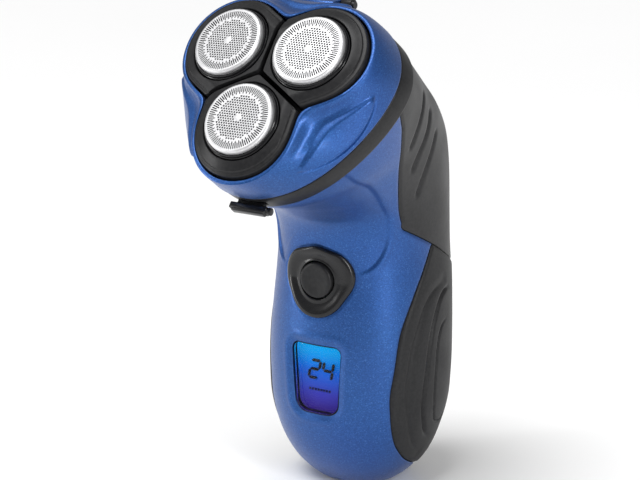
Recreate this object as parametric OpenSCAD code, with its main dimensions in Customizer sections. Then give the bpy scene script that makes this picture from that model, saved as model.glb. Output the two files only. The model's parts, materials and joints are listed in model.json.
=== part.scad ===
// Three-head rotary electric shaver that stands on a flat base. Millimetres, +Z up the handle.
// Origin: centre of the flat base. -Y is the front (button, display, shaving head), +X the side.

/* [Handle] */
// half the width of the handle at its widest
body_half_w = 28.8; // [26:0.2:31]
// half the depth of the handle at its widest
body_half_d = 28.8; // [27:0.2:30.5]
// height from the base to the middle of the shaving head
head_z = 144.8; // [142:0.2:148]
// how far the middle of the shaving head lies in front of the base
head_fwd = 57.8; // [56:0.2:60]
// thickness of the moulded shells
wall = 2.2; // [1.8:0.1:2.6]
// gap between two shells where they meet
seam = 0.2; // [0.1:0.05:0.4]
// width of the moulded grooves in the grip
grip_groove_w = 1.5; // [0.8:0.1:2.2]
// depth of the moulded grooves in the grip
grip_groove_d = 0.9; // [0.4:0.1:1.2]

/* [Head] */
// angle between the head's axis and straight up
head_tilt = 51; // [48:0.5:53]
// distance from the head's axis to each foil's axis
foil_pcr = 16.6; // [16.4:0.1:17]
// radius of a foil
foil_r = 11.4; // [11:0.1:11.6]
// how far each foil leans outwards
foil_tilt = 3.3; // [0:0.1:4]
// thickness of a foil
foil_t = 0.5; // [0.4:0.05:0.7]
// outside radius of a foil's ring
ring_r = 12.4; // [12.2:0.1:12.6]
// gap around a foil's ring in its segment
ring_gap = 0.35; // [0.3:0.05:0.5]
// radius of a segment's lobe
lobe_r = 16.3; // [15.8:0.1:16.8]
// width of the gaps between the segments
groove_w = 1.4; // [1:0.1:2]
// mean radius of the head's lower edge
edge_r = 36.4; // [35.6:0.2:37.2]
// how far the lower edge's three corners stand out
edge_bulge = 1.75; // [1:0.25:2.5]
// how much the lower edge is flattened at the back
edge_flat = 0.16; // [0.1:0.02:0.2]
// distance from the head's axis to the centre of each segment's lobe
lobe_pcr = 17.4; // [17:0.1:17.8]
// how far back the lower edge's centre lies
edge_back = 4; // [3:0.2:5]
// depth of the head cover below the foils
cover_depth = 19; // [18:0.5:20]
// thickness of the head cover
cover_t = 1.8; // [1.4:0.1:2.2]
// gap between the cover's rim and the segments
rim_gap = 0.7; // [0.5:0.05:1]
// depth of the black collar
collar_depth = 6.8; // [6.6:0.1:7.4]

/* [Drive] */
// teeth on the motor's pinion
pinion_teeth = 20; // [18:2:22]
// teeth on each drive gear
gear_teeth = 38; // [36:2:40]
// thickness of the drive gears
gear_t = 2.2; // [1.8:0.1:2.6]
// slack between gear teeth
gear_slack = 0.12; // [0.08:0.01:0.2]
// radius of a drive spindle
spindle_r = 2; // [1.8:0.05:2.4]
// running clearance on the spindles and pins
run_gap = 0.05; // [0.02:0.01:0.09]
// radius of the drive socket in a cutter
socket_r = 3; // [2.9:0.05:3.2]
// radius of the motor can
motor_r = 11.5; // [10:0.5:12]
// length of the motor can
motor_len = 27; // [22:1:30]
// number of cutter blades
blades = 12; // [9:1:15]

/* [Controls] */
// height of the power button's centre
button_z = 72.2; // [70:0.2:74]
// radius of the power button
button_r = 5.8; // [5.2:0.1:6.2]
// gap around the power button
button_gap = 0.35; // [0.3:0.05:0.5]
// how far the power button goes in
button_travel = 0.8; // [0.5:0.1:1]
// half the width of the bezel at its top
bezel_half_w = 12.7; // [12:0.1:13.4]
// height of the display's lower edge
display_z0 = 27.8; // [27:0.2:29]
// height of the display's upper edge
display_z1 = 51.2; // [50:0.2:52]
// half the display's width at its upper edge
display_half_w = 9.2; // [8.4:0.1:9.8]
// how far the head latch goes in
latch_travel = 0.8; // [0.6:0.1:0.9]

/* [Inside] */
// radius of a battery cell
cell_r = 7.1; // [6.8:0.1:7.3]
// length of a battery cell
cell_len = 49; // [44:1:50]
// half the width of the charging inlet
inlet_half_w = 5.2; // [4.8:0.1:5.6]
// depth of the charging inlet
inlet_depth = 8.6; // [7:0.2:9]

/* [Trimmer] */
// half the width of the pop-up trimmer
trim_half_w = 14.5; // [13:0.5:16]
// height of the trimmer's hinge
trim_z = 87; // [86:0.5:89]
// gap around the trimmer in its pocket
trim_gap = 0.4; // [0.3:0.05:0.6]
// radius of the trimmer's hinge barrel
trim_barrel = 3.2; // [2.8:0.1:3.4]

/* [Hidden] */
$fn = 48;
kw = body_half_w / 28.8;
kd = body_half_d / 28.8;
head_y = -head_fwd;
floor_h = -cover_depth - 0.3 - collar_depth;
mod = 2 * foil_pcr / (pinion_teeth + gear_teeth);
hinge_s = edge_back + (edge_r - edge_bulge) * (1 - edge_flat) + 1.9;
hinge_h = -cover_depth - 1;
trim_y = 27.6;
// front and back points of each section of the body, its half width, its squareness
// and how strongly it follows the head's three-cornered outline
SECS = [
    [[-11, 0], [11, 0], 11.4, 2.3, 0],
    [[-12.9, 0.7], [13, 0.7], 13.4, 2.3, 0],
    [[-14.7, 2.1], [14.9, 2.1], 15.4, 2.3, 0],
    [[-17.2, 4.4], [17.2, 4.4], 18, 2.28, 0],
    [[-19.8, 7.4], [19.4, 7.4], 20.7, 2.25, 0],
    [[-22.8, 12], [21.8, 12], 23.6, 2.2, 0],
    [[-25.4, 18], [24, 18], 26, 2.2, 0],
    [[-27.7, 27.5], [26.8, 26.5], 28.2, 2.2, 0],
    [[-28.6, 37.5], [28.3, 36.5], 28.8, 2.2, 0],
    [[-28.5, 50.6], [29.2, 49.4], 28.7, 2.2, 0],
    [[-27.6, 60.8], [29.9, 59.2], 28.1, 2.2, 0],
    [[-26.4, 72], [30.4, 70], 27.3, 2.2, 0],
    [[-26.2, 80], [30.5, 78.5], 26.6, 2.2, 0],
    [[-27.4, 87], [30.7, 88.5], 26.4, 2.2, 0],
    [[-31.3, 93], [30.6, 99.5], 26.8, 2.2, 0],
    [[-38, 97], [29.4, 109], 27.6, 2.2, 0.005],
    [[-44.6, 99.4], [25.2, 119.3], 28.8, 2.2, 0.015],
    [[-50, 100.9], [16.8, 128.8], 30.4, 2.15, 0.03],
    [[-54.4, 101.8], [4.4, 138.6], 32.4, 2.1, 0.04]
];
NSEC = len(SECS);

BLUE = [0.1, 0.27, 0.62];
BLACK = [0.04, 0.04, 0.045];
GREY = [0.12, 0.12, 0.13];
STEEL = [0.7, 0.7, 0.72];

// ---- shared shapes ----
function spow(v, p) = sign(v) * pow(abs(v), p);
function sec_pts(s, g, n) =
    let (f = [s[0][0] * kd, s[0][1]], b = [s[1][0] * kd, s[1][1]])
    let (v = (b - f) / 2, d = norm(v), u = v / d, c = f + v * (1 + s[4]))
    [for (i = [0 : n - 1])
        let (a = i * 360 / n, k = 1 + s[4] * cos(3 * (a - 30)))
        let (q = (d - g) * k * spow(sin(a), 2 / s[3]))
        [(s[2] * kw - g) * k * spow(cos(a), 2 / s[3]), c[0] + q * u[0], c[1] + q * u[1]]];
function lerp(a, b, t) = a + (b - a) * t;
function stitch(k, n) =
    [for (i = [0 : k - 2], j = [0 : n - 1]) let (j2 = (j + 1) % n)
        [i * n + j, (i + 1) * n + j, (i + 1) * n + j2, i * n + j2]];
module loft(rings) {
    n = len(rings[0]);
    k = len(rings);
    pts = [for (r = rings, p = r) p];
    sides = stitch(k, n);
    tris = [for (q = sides) each [[q[0], q[1], q[2]], [q[0], q[2], q[3]]]];
    polyhedron(pts, concat(tris, [[for (j = [0 : n - 1]) j]],
        [[for (j = [n - 1 : -1 : 0]) (k - 1) * n + j]]));
}
// a point of the head's frame (across, back, out) in the part's frame
function head_pt(x, b, h) = [x, head_y + b * cos(head_tilt) - h * sin(head_tilt),
    head_z + b * sin(head_tilt) + h * cos(head_tilt)];
// the whole body, g inside its surface
module body_solid(g = 0, n = 64) {
    loft(concat([for (s = SECS) sec_pts(s, g, n)], [top_ring(g + 0.5, n, 0)]));
}
// the hollow inside the shells
module body_hollow(n = 40) {
    low = [[-10.5, 3.2], [10.5, 3.2], 11.5, 2.2, 0];
    low2 = [[-15.2, 5.6], [15.2, 5.6], 16.5, 2.2, 0];
    loft(concat(
        [sec_pts(low, 0, n), sec_pts(low2, 0, n)],
        [for (i = [5 : NSEC - 1]) sec_pts(SECS[i], wall, n)],
        [top_ring(wall + 0.5, n, 0), top_ring(wall + 0.5, n, 6)]));
}
module side_cut(p) {
    rotate([90, 0, 90]) linear_extrude(90, center = true) polygon(p);
}
module in_head() {
    translate([0, head_y, head_z]) rotate([head_tilt, 0, 0]) children();
}
module at_foil(i) {
    in_head() rotate([0, 0, 30 + 120 * i]) translate([foil_pcr, 0, 0])
        rotate([0, foil_tilt, 0]) children();
}
module at_spindle(i) {
    in_head() rotate([0, 0, 30 + 120 * i]) translate([foil_pcr, 0, 0]) children();
}
module chain(p, r) {
    for (i = [0 : len(p) - 2]) {
        hull() {
            translate(p[i]) sphere(r, $fn = 10);
            translate(p[i + 1]) sphere(r, $fn = 10);
        }
    }
}
GRIP = [[12.6, -1], [8.5, 3.2], [-1.8, 7.5], [-8, 10.8], [-12.1, 14.5], [-15, 18.5], [-17, 23.5],
    [-18.2, 29], [-18.6, 35], [-17.7, 42.4], [-15.2, 55.2], [-9.5, 66.5], [-4.3, 74.4],
    [0.6, 81.7], [7.1, 78], [30, 65.4], [60, 50.8], [60, -1]];
COVER = [[-13.6, 91], [-13.4, 89.6], [-12.3, 88.6], [-1, 82.6], [7.1, 78], [30, 65.4], [60, 50.8],
    [60, 190], [-20, 190], [-50, 150], [-30.7, 125.7], [-21.6, 107.2]];
module grip_zone(e = 0) {
    rotate([90, 0, 90]) linear_extrude(90, center = true) offset(delta = e) polygon(GRIP);
}
module cover_zone(e = 0) {
    rotate([90, 0, 90]) linear_extrude(90, center = true) offset(delta = e) polygon(COVER);
}
// rounded three-cornered outline, flattened by f at the back and centred c behind the axis
function tri_pt(a, r0, c, f) =
    let (r = r0 + edge_bulge * cos(3 * (a - 30)), b = r * sin(a))
    [r * cos(a), c + (b > 0 ? b * (1 - f) : b)];
// outline of the head's lower edge, e outside it
function edge_pt(a, e = 0) = tri_pt(a, edge_r + e, edge_back, edge_flat);
// outline of the collar's lower edge, e outside it
function collar_pt(a, e = 0) = tri_pt(a, edge_r + 0.4 + e, edge_back + 1.8, edge_flat + 0.08);
// the collar's lower outline, g inside it and up above its bottom, in the part's frame
function top_ring(g, n, up) = [for (i = [0 : n - 1])
    let (q = collar_pt(i * 360 / n, -g)) head_pt(q[0], q[1], floor_h + up)];
module edge_2d(e = 0, n = 72) {
    polygon([for (i = [0 : n - 1]) edge_pt(i * 360 / n, e)]);
}
module collar_2d(e = 0, n = 72) {
    polygon([for (i = [0 : n - 1]) collar_pt(i * 360 / n, e)]);
}
module bezel_2d(e = 0) {
    offset(r = e) hull() {
        translate([0, button_z - 3]) circle(9);
        translate([bezel_half_w - 5.2, button_z + 3.2]) circle(5.2);
        translate([5.2 - bezel_half_w, button_z + 3.2]) circle(5.2);
        translate([0, button_z + 5.9]) circle(5.2);
    }
}
module display_2d(e = 0) {
    offset(r = e) hull() {
        translate([display_half_w - 2.7, display_z1 - 2.7]) circle(2.7);
        translate([2.7 - display_half_w, display_z1 - 2.7]) circle(2.7);
        translate([display_half_w - 6.6, display_z0 + 4.4]) circle(4.4);
        translate([6.6 - display_half_w, display_z0 + 4.4]) circle(4.4);
    }
}
// a flat outline in X and Z swept along Y from y0 to y1
module sweep_y(y0, y1) {
    translate([0, y1, 0]) rotate([90, 0, 0]) linear_extrude(y1 - y0) children();
}
CREASE = [[25.2, 114], [24.4, 106], [22.6, 98.2], [21.7, 91.4], [20.6, 84.8], [18.9, 79.6],
    [16.4, 76.6], [13, 74.8]];
module crease(m) {
    mirror([m, 0, 0]) for (i = [0 : len(CREASE) - 2]) hull() {
        translate([CREASE[i][0], -60, CREASE[i][1]]) rotate([-90, 0, 0])
            cylinder(r = 0.7, h = 52, $fn = 10);
        translate([CREASE[i + 1][0], -60, CREASE[i + 1][1]]) rotate([-90, 0, 0])
            cylinder(r = 0.7, h = 52, $fn = 10);
    }
}

// ---- fixed to the handle ----
module front_shell() {
    color(BLUE) difference() {
        body_solid();
        body_hollow();
        grip_zone(seam / 2);
        cover_zone(seam / 2);
        difference() {
            for (m = [0, 1]) crease(m);
            body_solid(0.5);
        }
        sweep_y(-40, -10) bezel_2d(-1.2);
        difference() {
            sweep_y(-40, -10) bezel_2d(0.1);
            body_solid(0.9);
        }
        sweep_y(-40, -10) display_2d(0.1);
        difference() {
            sweep_y(-40, -10) display_2d(2.6);
            body_solid(0.7);
        }
        translate([-inlet_half_w - 1.2, 1.5, -1]) cube([2 * inlet_half_w + 2.4, 8.2, 8]);
    }
}
// thin strip of width w along the points p of the side view
module side_line(p, w) {
    for (i = [0 : len(p) - 2]) hull() for (q = [p[i], p[i + 1]])
        translate([0, q[0], q[1]]) rotate([0, 90, 0])
            cylinder(r = w / 2, h = 90, center = true, $fn = 8);
}
module grooves(w) {
    side_line([[9, 64], [4.6, 63.2], [-0.6, 58], [-4.2, 50], [-6.6, 40], [-7, 31]], w);
    side_line([[8, 55.4], [4.2, 53.2], [0.6, 47], [-1.2, 38], [-1, 31]], w * 0.6);
}
module rear_grip() {
    color(GREY) difference() {
        intersection() {
            body_solid();
            grip_zone(-seam / 2);
        }
        body_hollow();
        difference() {
            grooves(grip_groove_w);
            body_solid(grip_groove_d);
        }
        translate([-inlet_half_w - 1.3, 1.4, -1]) cube([2 * inlet_half_w + 2.6, 8.4, 8]);
    }
}
module finger_grooves() {
    for (i = [0 : 2]) side_line([[-11.4 + 5.2 * i, 134.4 - 8.4 * i], [-15.4 + 5 * i, 129.6 - 9 * i],
        [-19.4 + 6 * i, 121.8 - 8.4 * i], [-20.6 + 6.2 * i, 117.4 - 8.8 * i]], 1.7);
}
module trimmer_pocket() {
    w = trim_half_w + trim_gap;
    r = trim_barrel + trim_gap;
    translate([-w, trim_y - 7.4, trim_z]) cube([2 * w, 20, 30.9]);
    translate([0, trim_y, trim_z]) rotate([0, 90, 0]) cylinder(r = r, h = 2 * w, center = true);
    translate([-w, trim_y, trim_z - r]) cube([2 * w, 10, r + 1]);
}
module rear_cover() {
    color(GREY) difference() {
        union() {
            difference() {
                intersection() {
                    body_solid();
                    cover_zone(-seam / 2);
                }
                body_hollow();
            }
            intersection() {
                translate([-trim_half_w - 3, trim_y - 9.2, trim_z - 6]) cube([2 * trim_half_w + 6, 13, 38]);
                difference() {
                    body_solid(0.4);
                    translate([-trim_half_w - 1.4, trim_y - 7.8, trim_z - 4.4])
                        cube([2 * trim_half_w + 2.8, 40, 36.8]);
                }
            }
        }
        trimmer_pocket();
        difference() {
            finger_grooves();
            body_solid(0.9);
        }
        translate([0, trim_y, trim_z]) rotate([0, 90, 0])
            cylinder(r = 0.8 + run_gap, h = 2 * trim_half_w + 5, center = true);
        translate([-4.4, 20, 73.2]) cube([8.8, 20, 9.6]);
    }
}
module inner_frame() {
    color(GREY) difference() {
        union() {
            translate([-16.8, -15.6, 16]) cube([33.6, 1.8, 64]);
            translate([-16.8, -15.6, 16]) cube([1.6, 15, 64]);
            translate([15.2, -15.6, 16]) cube([1.6, 15, 64]);
            translate([-15.3, -13.9, 16]) cube([30.6, 18, 1.6]);
            translate([-15.3, -13.9, 68.8]) cube([30.6, 18, 1.6]);
        }
        for (z = [30, 44, 58]) translate([0, -11, z]) rotate([90, 0, 0])
            cylinder(r = 4.5, h = 10);
        for (x = [-1, 1]) translate([x * 7.5, -3, 68]) cylinder(r = 3, h = 4);
    }
}
module collar() {
    color(BLACK) difference() {
        in_head() difference() {
            union() {
                hull() {
                    translate([0, 0, floor_h]) linear_extrude(0.2) collar_2d();
                    translate([0, 0, floor_h + collar_depth - 0.2]) linear_extrude(0.2) edge_2d(-0.4);
                }
                for (x = [-1, 1]) translate([x * 8.2, 0, 0]) hull() {
                    translate([0, hinge_s, hinge_h]) rotate([0, 90, 0])
                        cylinder(r = 2, h = 3.4, center = true);
                    translate([-1.7, hinge_s - 4, hinge_h - 5.6]) cube([3.4, 2, 3]);
                }
            }
            difference() {
                translate([0, 0, floor_h + 1.5]) linear_extrude(collar_depth + 4) edge_2d(-2.1);
                for (a = [90, 210, 330]) rotate([0, 0, a]) translate([23.5, 0, floor_h])
                    cylinder(r = 2.6, h = -cover_depth - 2.25 - floor_h);
            }
            for (a = [90, 210, 330]) rotate([0, 0, a]) translate([23.5, 0, floor_h + 0.6])
                cylinder(r = 1.2 + run_gap, h = 10);
            translate([0, 0, floor_h - 1]) cylinder(r = 6.6, h = 4);
            for (x = [-1, 1]) translate([x * 8.2, hinge_s, hinge_h]) rotate([0, 90, 0])
                cylinder(r = 1 + run_gap, h = 6, center = true);
            translate([-6.5, hinge_s - 3.4, hinge_h - 3]) cube([13, 8, 8]);
            for (i = [0 : 2]) rotate([0, 0, 30 + 120 * i]) translate([foil_pcr, 0, floor_h + 0.5])
                cylinder(r = 1 + run_gap, h = 5);
            translate([-5.1, -41, -cover_depth - 4.8]) cube([10.2, 12, 2.4]);
        }
    }
}
module plate_outline() {
    difference() {
        edge_2d(-2.4);
        translate([-6.8, hinge_s - 4.4]) square([13.6, 8]);
    }
}
module gear_plate() {
    color(GREY) in_head() difference() {
        union() {
            translate([0, 0, -cover_depth - 2.2]) linear_extrude(1.4) plate_outline();
            for (i = [0 : 2]) rotate([0, 0, 30 + 120 * i]) translate([foil_pcr, 0, -cover_depth - 2])
                cylinder(r = 4.2, h = 2.6);
        }
        for (i = [0 : 2]) rotate([0, 0, 30 + 120 * i]) translate([foil_pcr, 0, -cover_depth - 5])
            cylinder(r = spindle_r + run_gap, h = 12);
        for (a = [90, 210, 330]) rotate([0, 0, a]) translate([23.5, 0, -cover_depth - 5])
            cylinder(r = 1.3, h = 12);
    }
}
module plate_screws() {
    color(STEEL) in_head() for (a = [90, 210, 330]) rotate([0, 0, a]) translate([23.5, 0, 0]) {
        translate([0, 0, -cover_depth - 6]) cylinder(r = 1.2, h = 5.6);
        difference() {
            translate([0, 0, -cover_depth - 0.75]) cylinder(r1 = 2.3, r2 = 1.9, h = 1.3);
            for (b = [0, 90]) rotate([0, 0, b]) translate([-1.2, -0.25, -cover_depth - 0.1])
                cube([2.4, 0.5, 2]);
        }
    }
}
module hinge_pin() {
    color(STEEL) in_head() translate([0, hinge_s, hinge_h]) rotate([0, 90, 0]) {
        cylinder(r = 1, h = 19.4, center = true);
        translate([0, 0, 9.95]) cylinder(r1 = 1.5, r2 = 1.2, h = 0.7);
    }
}
module motor() {
    color(STEEL) in_head() difference() {
        union() {
            translate([0, 0, floor_h - 0.1 - motor_len]) cylinder(r = motor_r, h = motor_len);
            translate([0, 0, floor_h - 1.3]) cylinder(r = 4.6, h = 1.8);
            translate([0, 0, floor_h - 2.7 - motor_len]) cylinder(r = 7.4, h = 2.8);
            for (x = [-1, 1]) translate([x * 4.6 - 1, -0.3, floor_h - 6.3 - motor_len])
                cube([2, 0.6, 4]);
        }
        translate([0, 0, floor_h - 8]) cylinder(r = 1 + run_gap, h = 12);
        for (x = [-1, 1]) translate([x * motor_r * 1.02, 0, floor_h - motor_len]) scale([0.2, 1, 1])
            cylinder(r = 5, h = motor_len - 6);
    }
}
module cell(x) {
    color([0.2, 0.45, 0.3]) translate([x * 7.6, 1.5, 18.2]) rotate_extrude() polygon([[0, 0],
        [cell_r - 0.6, 0], [cell_r, 0.6], [cell_r, cell_len - 1.6], [cell_r - 0.8, cell_len - 0.8],
        [2.6, cell_len - 0.8], [2.4, cell_len], [0, cell_len]]);
}
module cell_straps() {
    color(STEEL) {
        translate([-11, -1, 18.2 + cell_len + 0.05]) cube([22, 5, 0.3]);
        for (x = [-1, 1]) translate([x * 7.6 - 2.2, -1, 17.8]) cube([4.4, 5, 0.3]);
        for (x = [-1, 1]) translate([x * 10.6 - 0.5, 3.9, 18.2 + cell_len + 0.05])
            cube([1, 4, 0.3]);
    }
}
module circuit_board() {
    color([0.05, 0.3, 0.15]) {
        difference() {
            translate([-16, -18, 20]) cube([32, 1.6, 62]);
            for (x = [-1, 1], z = [23.5, 78.5]) translate([x * 13, -15, z]) rotate([90, 0, 0])
                cylinder(r = 1.2, h = 5);
        }
        translate([-12, -19.6, 56.5]) cube([7, 1.6, 5]);
        translate([5, -19.2, 56.5]) cube([5, 1.2, 6]);
        for (i = [0 : 4]) translate([-10 + i * 4, -18.8, 83 - 4.2]) cube([2, 0.8, 1.2]);
    }
}
module tact_switch() {
    color(STEEL) difference() {
        union() {
            translate([-3.1, -21.5, button_z - 3.1]) cube([6.2, 3.45, 6.2]);
            translate([0, -21.4, button_z]) rotate([90, 0, 0]) cylinder(r = 1.7, h = 0.5);
        }
        for (x = [-1, 1], z = [-1, 1]) translate([x * 2.3, -21, button_z + z * 2.3])
            rotate([90, 0, 0]) cylinder(r = 0.35, h = 2, $fn = 16);
    }
}
module lcd_module() {
    color([0.15, 0.45, 0.8]) difference() {
        sweep_y(-24.2, -21.6) display_2d(1.4);
        sweep_y(-25, -23.7) display_2d(-0.4);
    }
}
module backlight() {
    color([0.9, 0.95, 1]) {
        difference() {
            translate([-9.6, -21.5, 28]) cube([19.2, 3.4, 23]);
            translate([-7.6, -20.3, 30]) cube([15.2, 4, 19]);
        }
    }
}
module display_window() {
    color([0.5, 0.75, 0.95, 0.4]) intersection() {
        sweep_y(-29.4, -25.6) display_2d(-0.05);
        difference() {
            translate([0, 13.2, 20]) cylinder(r = 40.6, h = 40, $fn = 160);
            translate([0, 13.2, 19]) cylinder(r = 39.4, h = 42, $fn = 160);
        }
    }
}
module button_bezel() {
    color(BLACK) difference() {
        intersection() {
            union() {
                for (i = [0 : 8]) hull() {
                    sweep_y(-40, -21) bezel_2d(-1.3 - 0.1 * i);
                    sweep_y(-40, -20.6) bezel_2d(-1.6 - 0.1 * i);
                }
                difference() {
                    sweep_y(-40, -10) bezel_2d(0);
                    body_solid(0.85, 64);
                }
            }
            body_solid(-0.9);
            sweep_y(-40, -10) bezel_2d(0);
        }
        body_solid(wall + 0.4);
        translate([0, 0, button_z]) rotate([90, 0, 0]) cylinder(r = button_r + button_gap, h = 60);
    }
}
module inlet_socket() {
    color(BLACK) difference() {
        translate([-inlet_half_w - 1.1, 1.6, 0.2]) cube([2 * inlet_half_w + 2.2, 8, inlet_depth + 1.4]);
        translate([-inlet_half_w, 2.6, -1]) cube([2 * inlet_half_w, 6, inlet_depth + 1]);
        for (x = [-1, 1]) translate([x * (inlet_half_w - 1.4), 5.6, 0])
            cylinder(r = 0.75, h = 14);
    }
}
module inlet_pins() {
    color(STEEL) for (x = [-1, 1]) translate([x * (inlet_half_w - 1.4), 5.6, 0]) {
        translate([0, 0, 3.2]) cylinder(r = 0.75, h = inlet_depth);
        translate([0, 0, 2.5]) cylinder(r1 = 0.4, r2 = 0.75, h = 0.7);
    }
}

// ---- controls ----
module power_button() {
    yb = -26.4 * kd;
    color(BLACK) difference() {
        translate([0, 0, button_z]) rotate([90, 0, 0]) union() {
            translate([0, 0, -yb - 1.6]) rotate_extrude() polygon([[0, 0], [button_r, 0],
                [button_r, 1.9], [button_r - 0.25, 2.4], [button_r - 0.8, 2.65],
                [button_r - 1.6, 2.55], [button_r - 2.6, 2.35], [0, 2.2]]);
            translate([0, 0, 19.4 + 3.4]) cylinder(r = 2.6, h = -yb - 24);
        }
        translate([0, -20.6, button_z]) rotate([90, 0, 0]) cylinder(r = 1.2, h = 4);
    }
}
module head_latch() {
    color(BLACK) in_head() difference() {
        union() {
            translate([-6.6, -36.4, -cover_depth - 5]) cube([13.2, 2, 3]);
            translate([-5.8, -37, -cover_depth - 4.6]) cube([11.6, 1, 2.2]);
            translate([-4.6, -35, -cover_depth - 4.6]) cube([9.2, 3.6, 2]);
            translate([7.2, -35.4, -cover_depth - 3.5]) rotate([0, 90, 0])
                cylinder(r = 1.2, h = 1.4, center = true);
        }
        for (i = [-2 : 2]) translate([i * 2.2 - 0.3, -37.8, -cover_depth - 5.2])
            cube([0.6, 1.1, 4]);
    }
}

// ---- shaving head ----
// how far a segment reaches from the head's axis, d degrees from its lobe's middle: round, then straight
function lobe_reach(d) = d < atan(lobe_r / lobe_pcr)
    ? lobe_pcr * cos(d) + sqrt(lobe_r * lobe_r - pow(lobe_pcr * sin(d), 2))
    : lobe_r / sin(d);
function off_lobe(a) = let (b = (a - 30 + 3600) % 120) b > 60 ? 120 - b : b;
function sm(t) = let (u = min(1, max(0, t))) u * u * (3 - 2 * u);
function rim_r(a) = lobe_reach(off_lobe(a)) + rim_gap;
function rim_h(a) = -6.4 + 2 * sm((off_lobe(a) - 14) / 44);
function cov_pt(a, v, t) =
    let (e = edge_pt(a, -0.2), r = rim_r(a) + 1.3, u = [r * cos(a), r * sin(a)])
    let (k = sm((off_lobe(a) - 20) / 38))
    let (l = lerp(e * 0.995, u, 0.22 - 0.06 * k), m = l * max(1, 0.995 * norm(u) / norm(l)))
    let (mh = lerp(-9.6, -12.6, k))
    let (q = e * (1 - v) * (1 - v) + m * 2 * v * (1 - v) + u * v * v)
    let (h = -cover_depth * (1 - v) * (1 - v) + mh * 2 * v * (1 - v) + rim_h(a) * v * v)
    let (w = q - t * (1 - 0.35 * v) * q / norm(q))
    [w[0], w[1], h - t * v * 0.9];
module head_cover() {
    n = 96;
    ang = [for (i = [0 : n - 1]) i * 360 / n];
    outer = [for (v = [0, 0.12, 0.28, 0.45, 0.62, 0.8, 1]) [for (a = ang) cov_pt(a, v, 0)]];
    lip = [for (a = ang) [(rim_r(a) + 0.3) * cos(a), (rim_r(a) + 0.3) * sin(a), rim_h(a) + 0.3]];
    lip2 = [for (a = ang) [rim_r(a) * cos(a), rim_r(a) * sin(a), rim_h(a) - 0.3]];
    lip3 = [for (a = ang) [rim_r(a) * cos(a), rim_r(a) * sin(a), rim_h(a) - 1.9]];
    inner = [for (v = [0.78, 0.52, 0.25, 0]) [for (a = ang) cov_pt(a, v, cover_t)]];
    rings = concat(outer, [lip, lip2, lip3], inner);
    k = len(rings);
    color(BLUE) in_head() {
        difference() {
            polyhedron([for (r = rings, p = r) p], [for (i = [0 : k - 1], j = [0 : n - 1])
                let (j2 = (j + 1) % n, i2 = (i + 1) % k) each [
                    [i * n + j, i2 * n + j, i2 * n + j2], [i * n + j, i2 * n + j2, i * n + j2]]]);
            for (c = [-30, 90, 210], m = [-1, 1], i = [0 : 3]) hull() {
                translate(cov_pt(c + m * (6 + 9 * i), 0.84 - 0.17 * i, -0.35)) sphere(0.6, $fn = 8);
                translate(cov_pt(c + m * (15 + 9 * i), 0.67 - 0.17 * i, -0.35)) sphere(0.6, $fn = 8);
            }
            for (x = [-1, 1]) translate([x * 8.2 - 2, hinge_s - 3, hinge_h - 3]) cube([4, 6, 6]);
        }
        difference() {
            hull() {
                translate([0, hinge_s, hinge_h]) rotate([0, 90, 0]) cylinder(r = 2, h = 12, center = true);
                translate([-6, hinge_s - 3.2, hinge_h + 3.2]) cube([12, 1, 2]);
            }
            translate([0, hinge_s, hinge_h]) rotate([0, 90, 0])
                cylinder(r = 1 + run_gap + 0.02, h = 30, center = true);
        }
    }
}
module retaining_frame() {
    color(BLACK) in_head() translate([0, 0, -16.4]) difference() {
        linear_extrude(2) difference() {
            union() {
                circle(10.4);
                for (i = [0 : 2]) rotate(30 + 120 * i) translate([foil_pcr, 0]) circle(10.2);
                for (a = [90, 210, 330]) rotate(a) translate([0, -3]) square([23.4, 6]);
            }
            for (i = [0 : 2]) rotate(30 + 120 * i) translate([foil_pcr, 0]) circle(8.4);
            circle(2.2);
        }
        for (a = [90, 210, 330]) rotate(a) translate([20, 0, -1]) cylinder(r = 1.1, h = 4);
    }
}
module drop_2d(r) {
    hull() {
        translate([lobe_pcr, 0]) circle(r, $fn = 72);
        translate([lobe_pcr - 12, 0]) circle(r, $fn = 72);
    }
}
module wedge_2d() {
    c = groove_w / 2 / sin(60);
    polygon([[c, 0], [c + 60, 60 * tan(60)], [c + 90, 0], [c + 60, -60 * tan(60)]]);
}
module segment(i) {
    color(BLACK) in_head() rotate([0, 0, 30 + 120 * i]) difference() {
        intersection() {
            hull() {
                translate([0, 0, -2.7]) linear_extrude(0.3) drop_2d(lobe_r - 2.9);
                translate([0, 0, -4.9]) linear_extrude(0.3) drop_2d(lobe_r - 0.5);
                translate([0, 0, -10.4]) linear_extrude(0.3) drop_2d(lobe_r);
            }
            translate([0, 0, -30]) linear_extrude(40) wedge_2d();
        }
        translate([foil_pcr, 0, 0]) rotate([0, foil_tilt, 0]) {
            translate([0, 0, -8.3]) cylinder(r = ring_r + ring_gap, h = 20, $fn = 72);
            translate([0, 0, -20]) cylinder(r = 11, h = 30);
        }
    }
}
module foil(i) {
    r = foil_r;
    color(STEEL) at_foil(i) rotate_extrude($fn = 96) polygon([[0, -foil_t], [0, 0.15], [1.8, 0.15],
        [2.2, 0], [r - 5.6, 0], [r - 5.3, -0.15], [r - 5, 0], [r - 0.9, 0], [r - 0.4, -0.2],
        [r - 0.1, -0.6], [r, -1.1], [r, -4.2], [r - 0.5, -4.2], [r - 0.5, -1.2], [r - 0.8, -0.7],
        [r - 1.1, -foil_t]]);
}
module foil_ring(i) {
    r = foil_r + 0.06;
    color(BLACK) at_foil(i) difference() {
        rotate_extrude($fn = 96) polygon([[r, -4.25], [r, -1.5], [r + 0.5, -1.5],
            [r + 0.62, -2.3], [ring_r - 0.1, -2.4], [ring_r, -2.6], [ring_r, -6.2], [r - 0.9, -6.2],
            [r - 0.9, -4.25]]);
        for (a = [0 : 120 : 240]) rotate([0, 0, a]) translate([ring_r - 0.5, -1, -7])
            cube([2, 2, 1.6]);
    }
}
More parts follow.
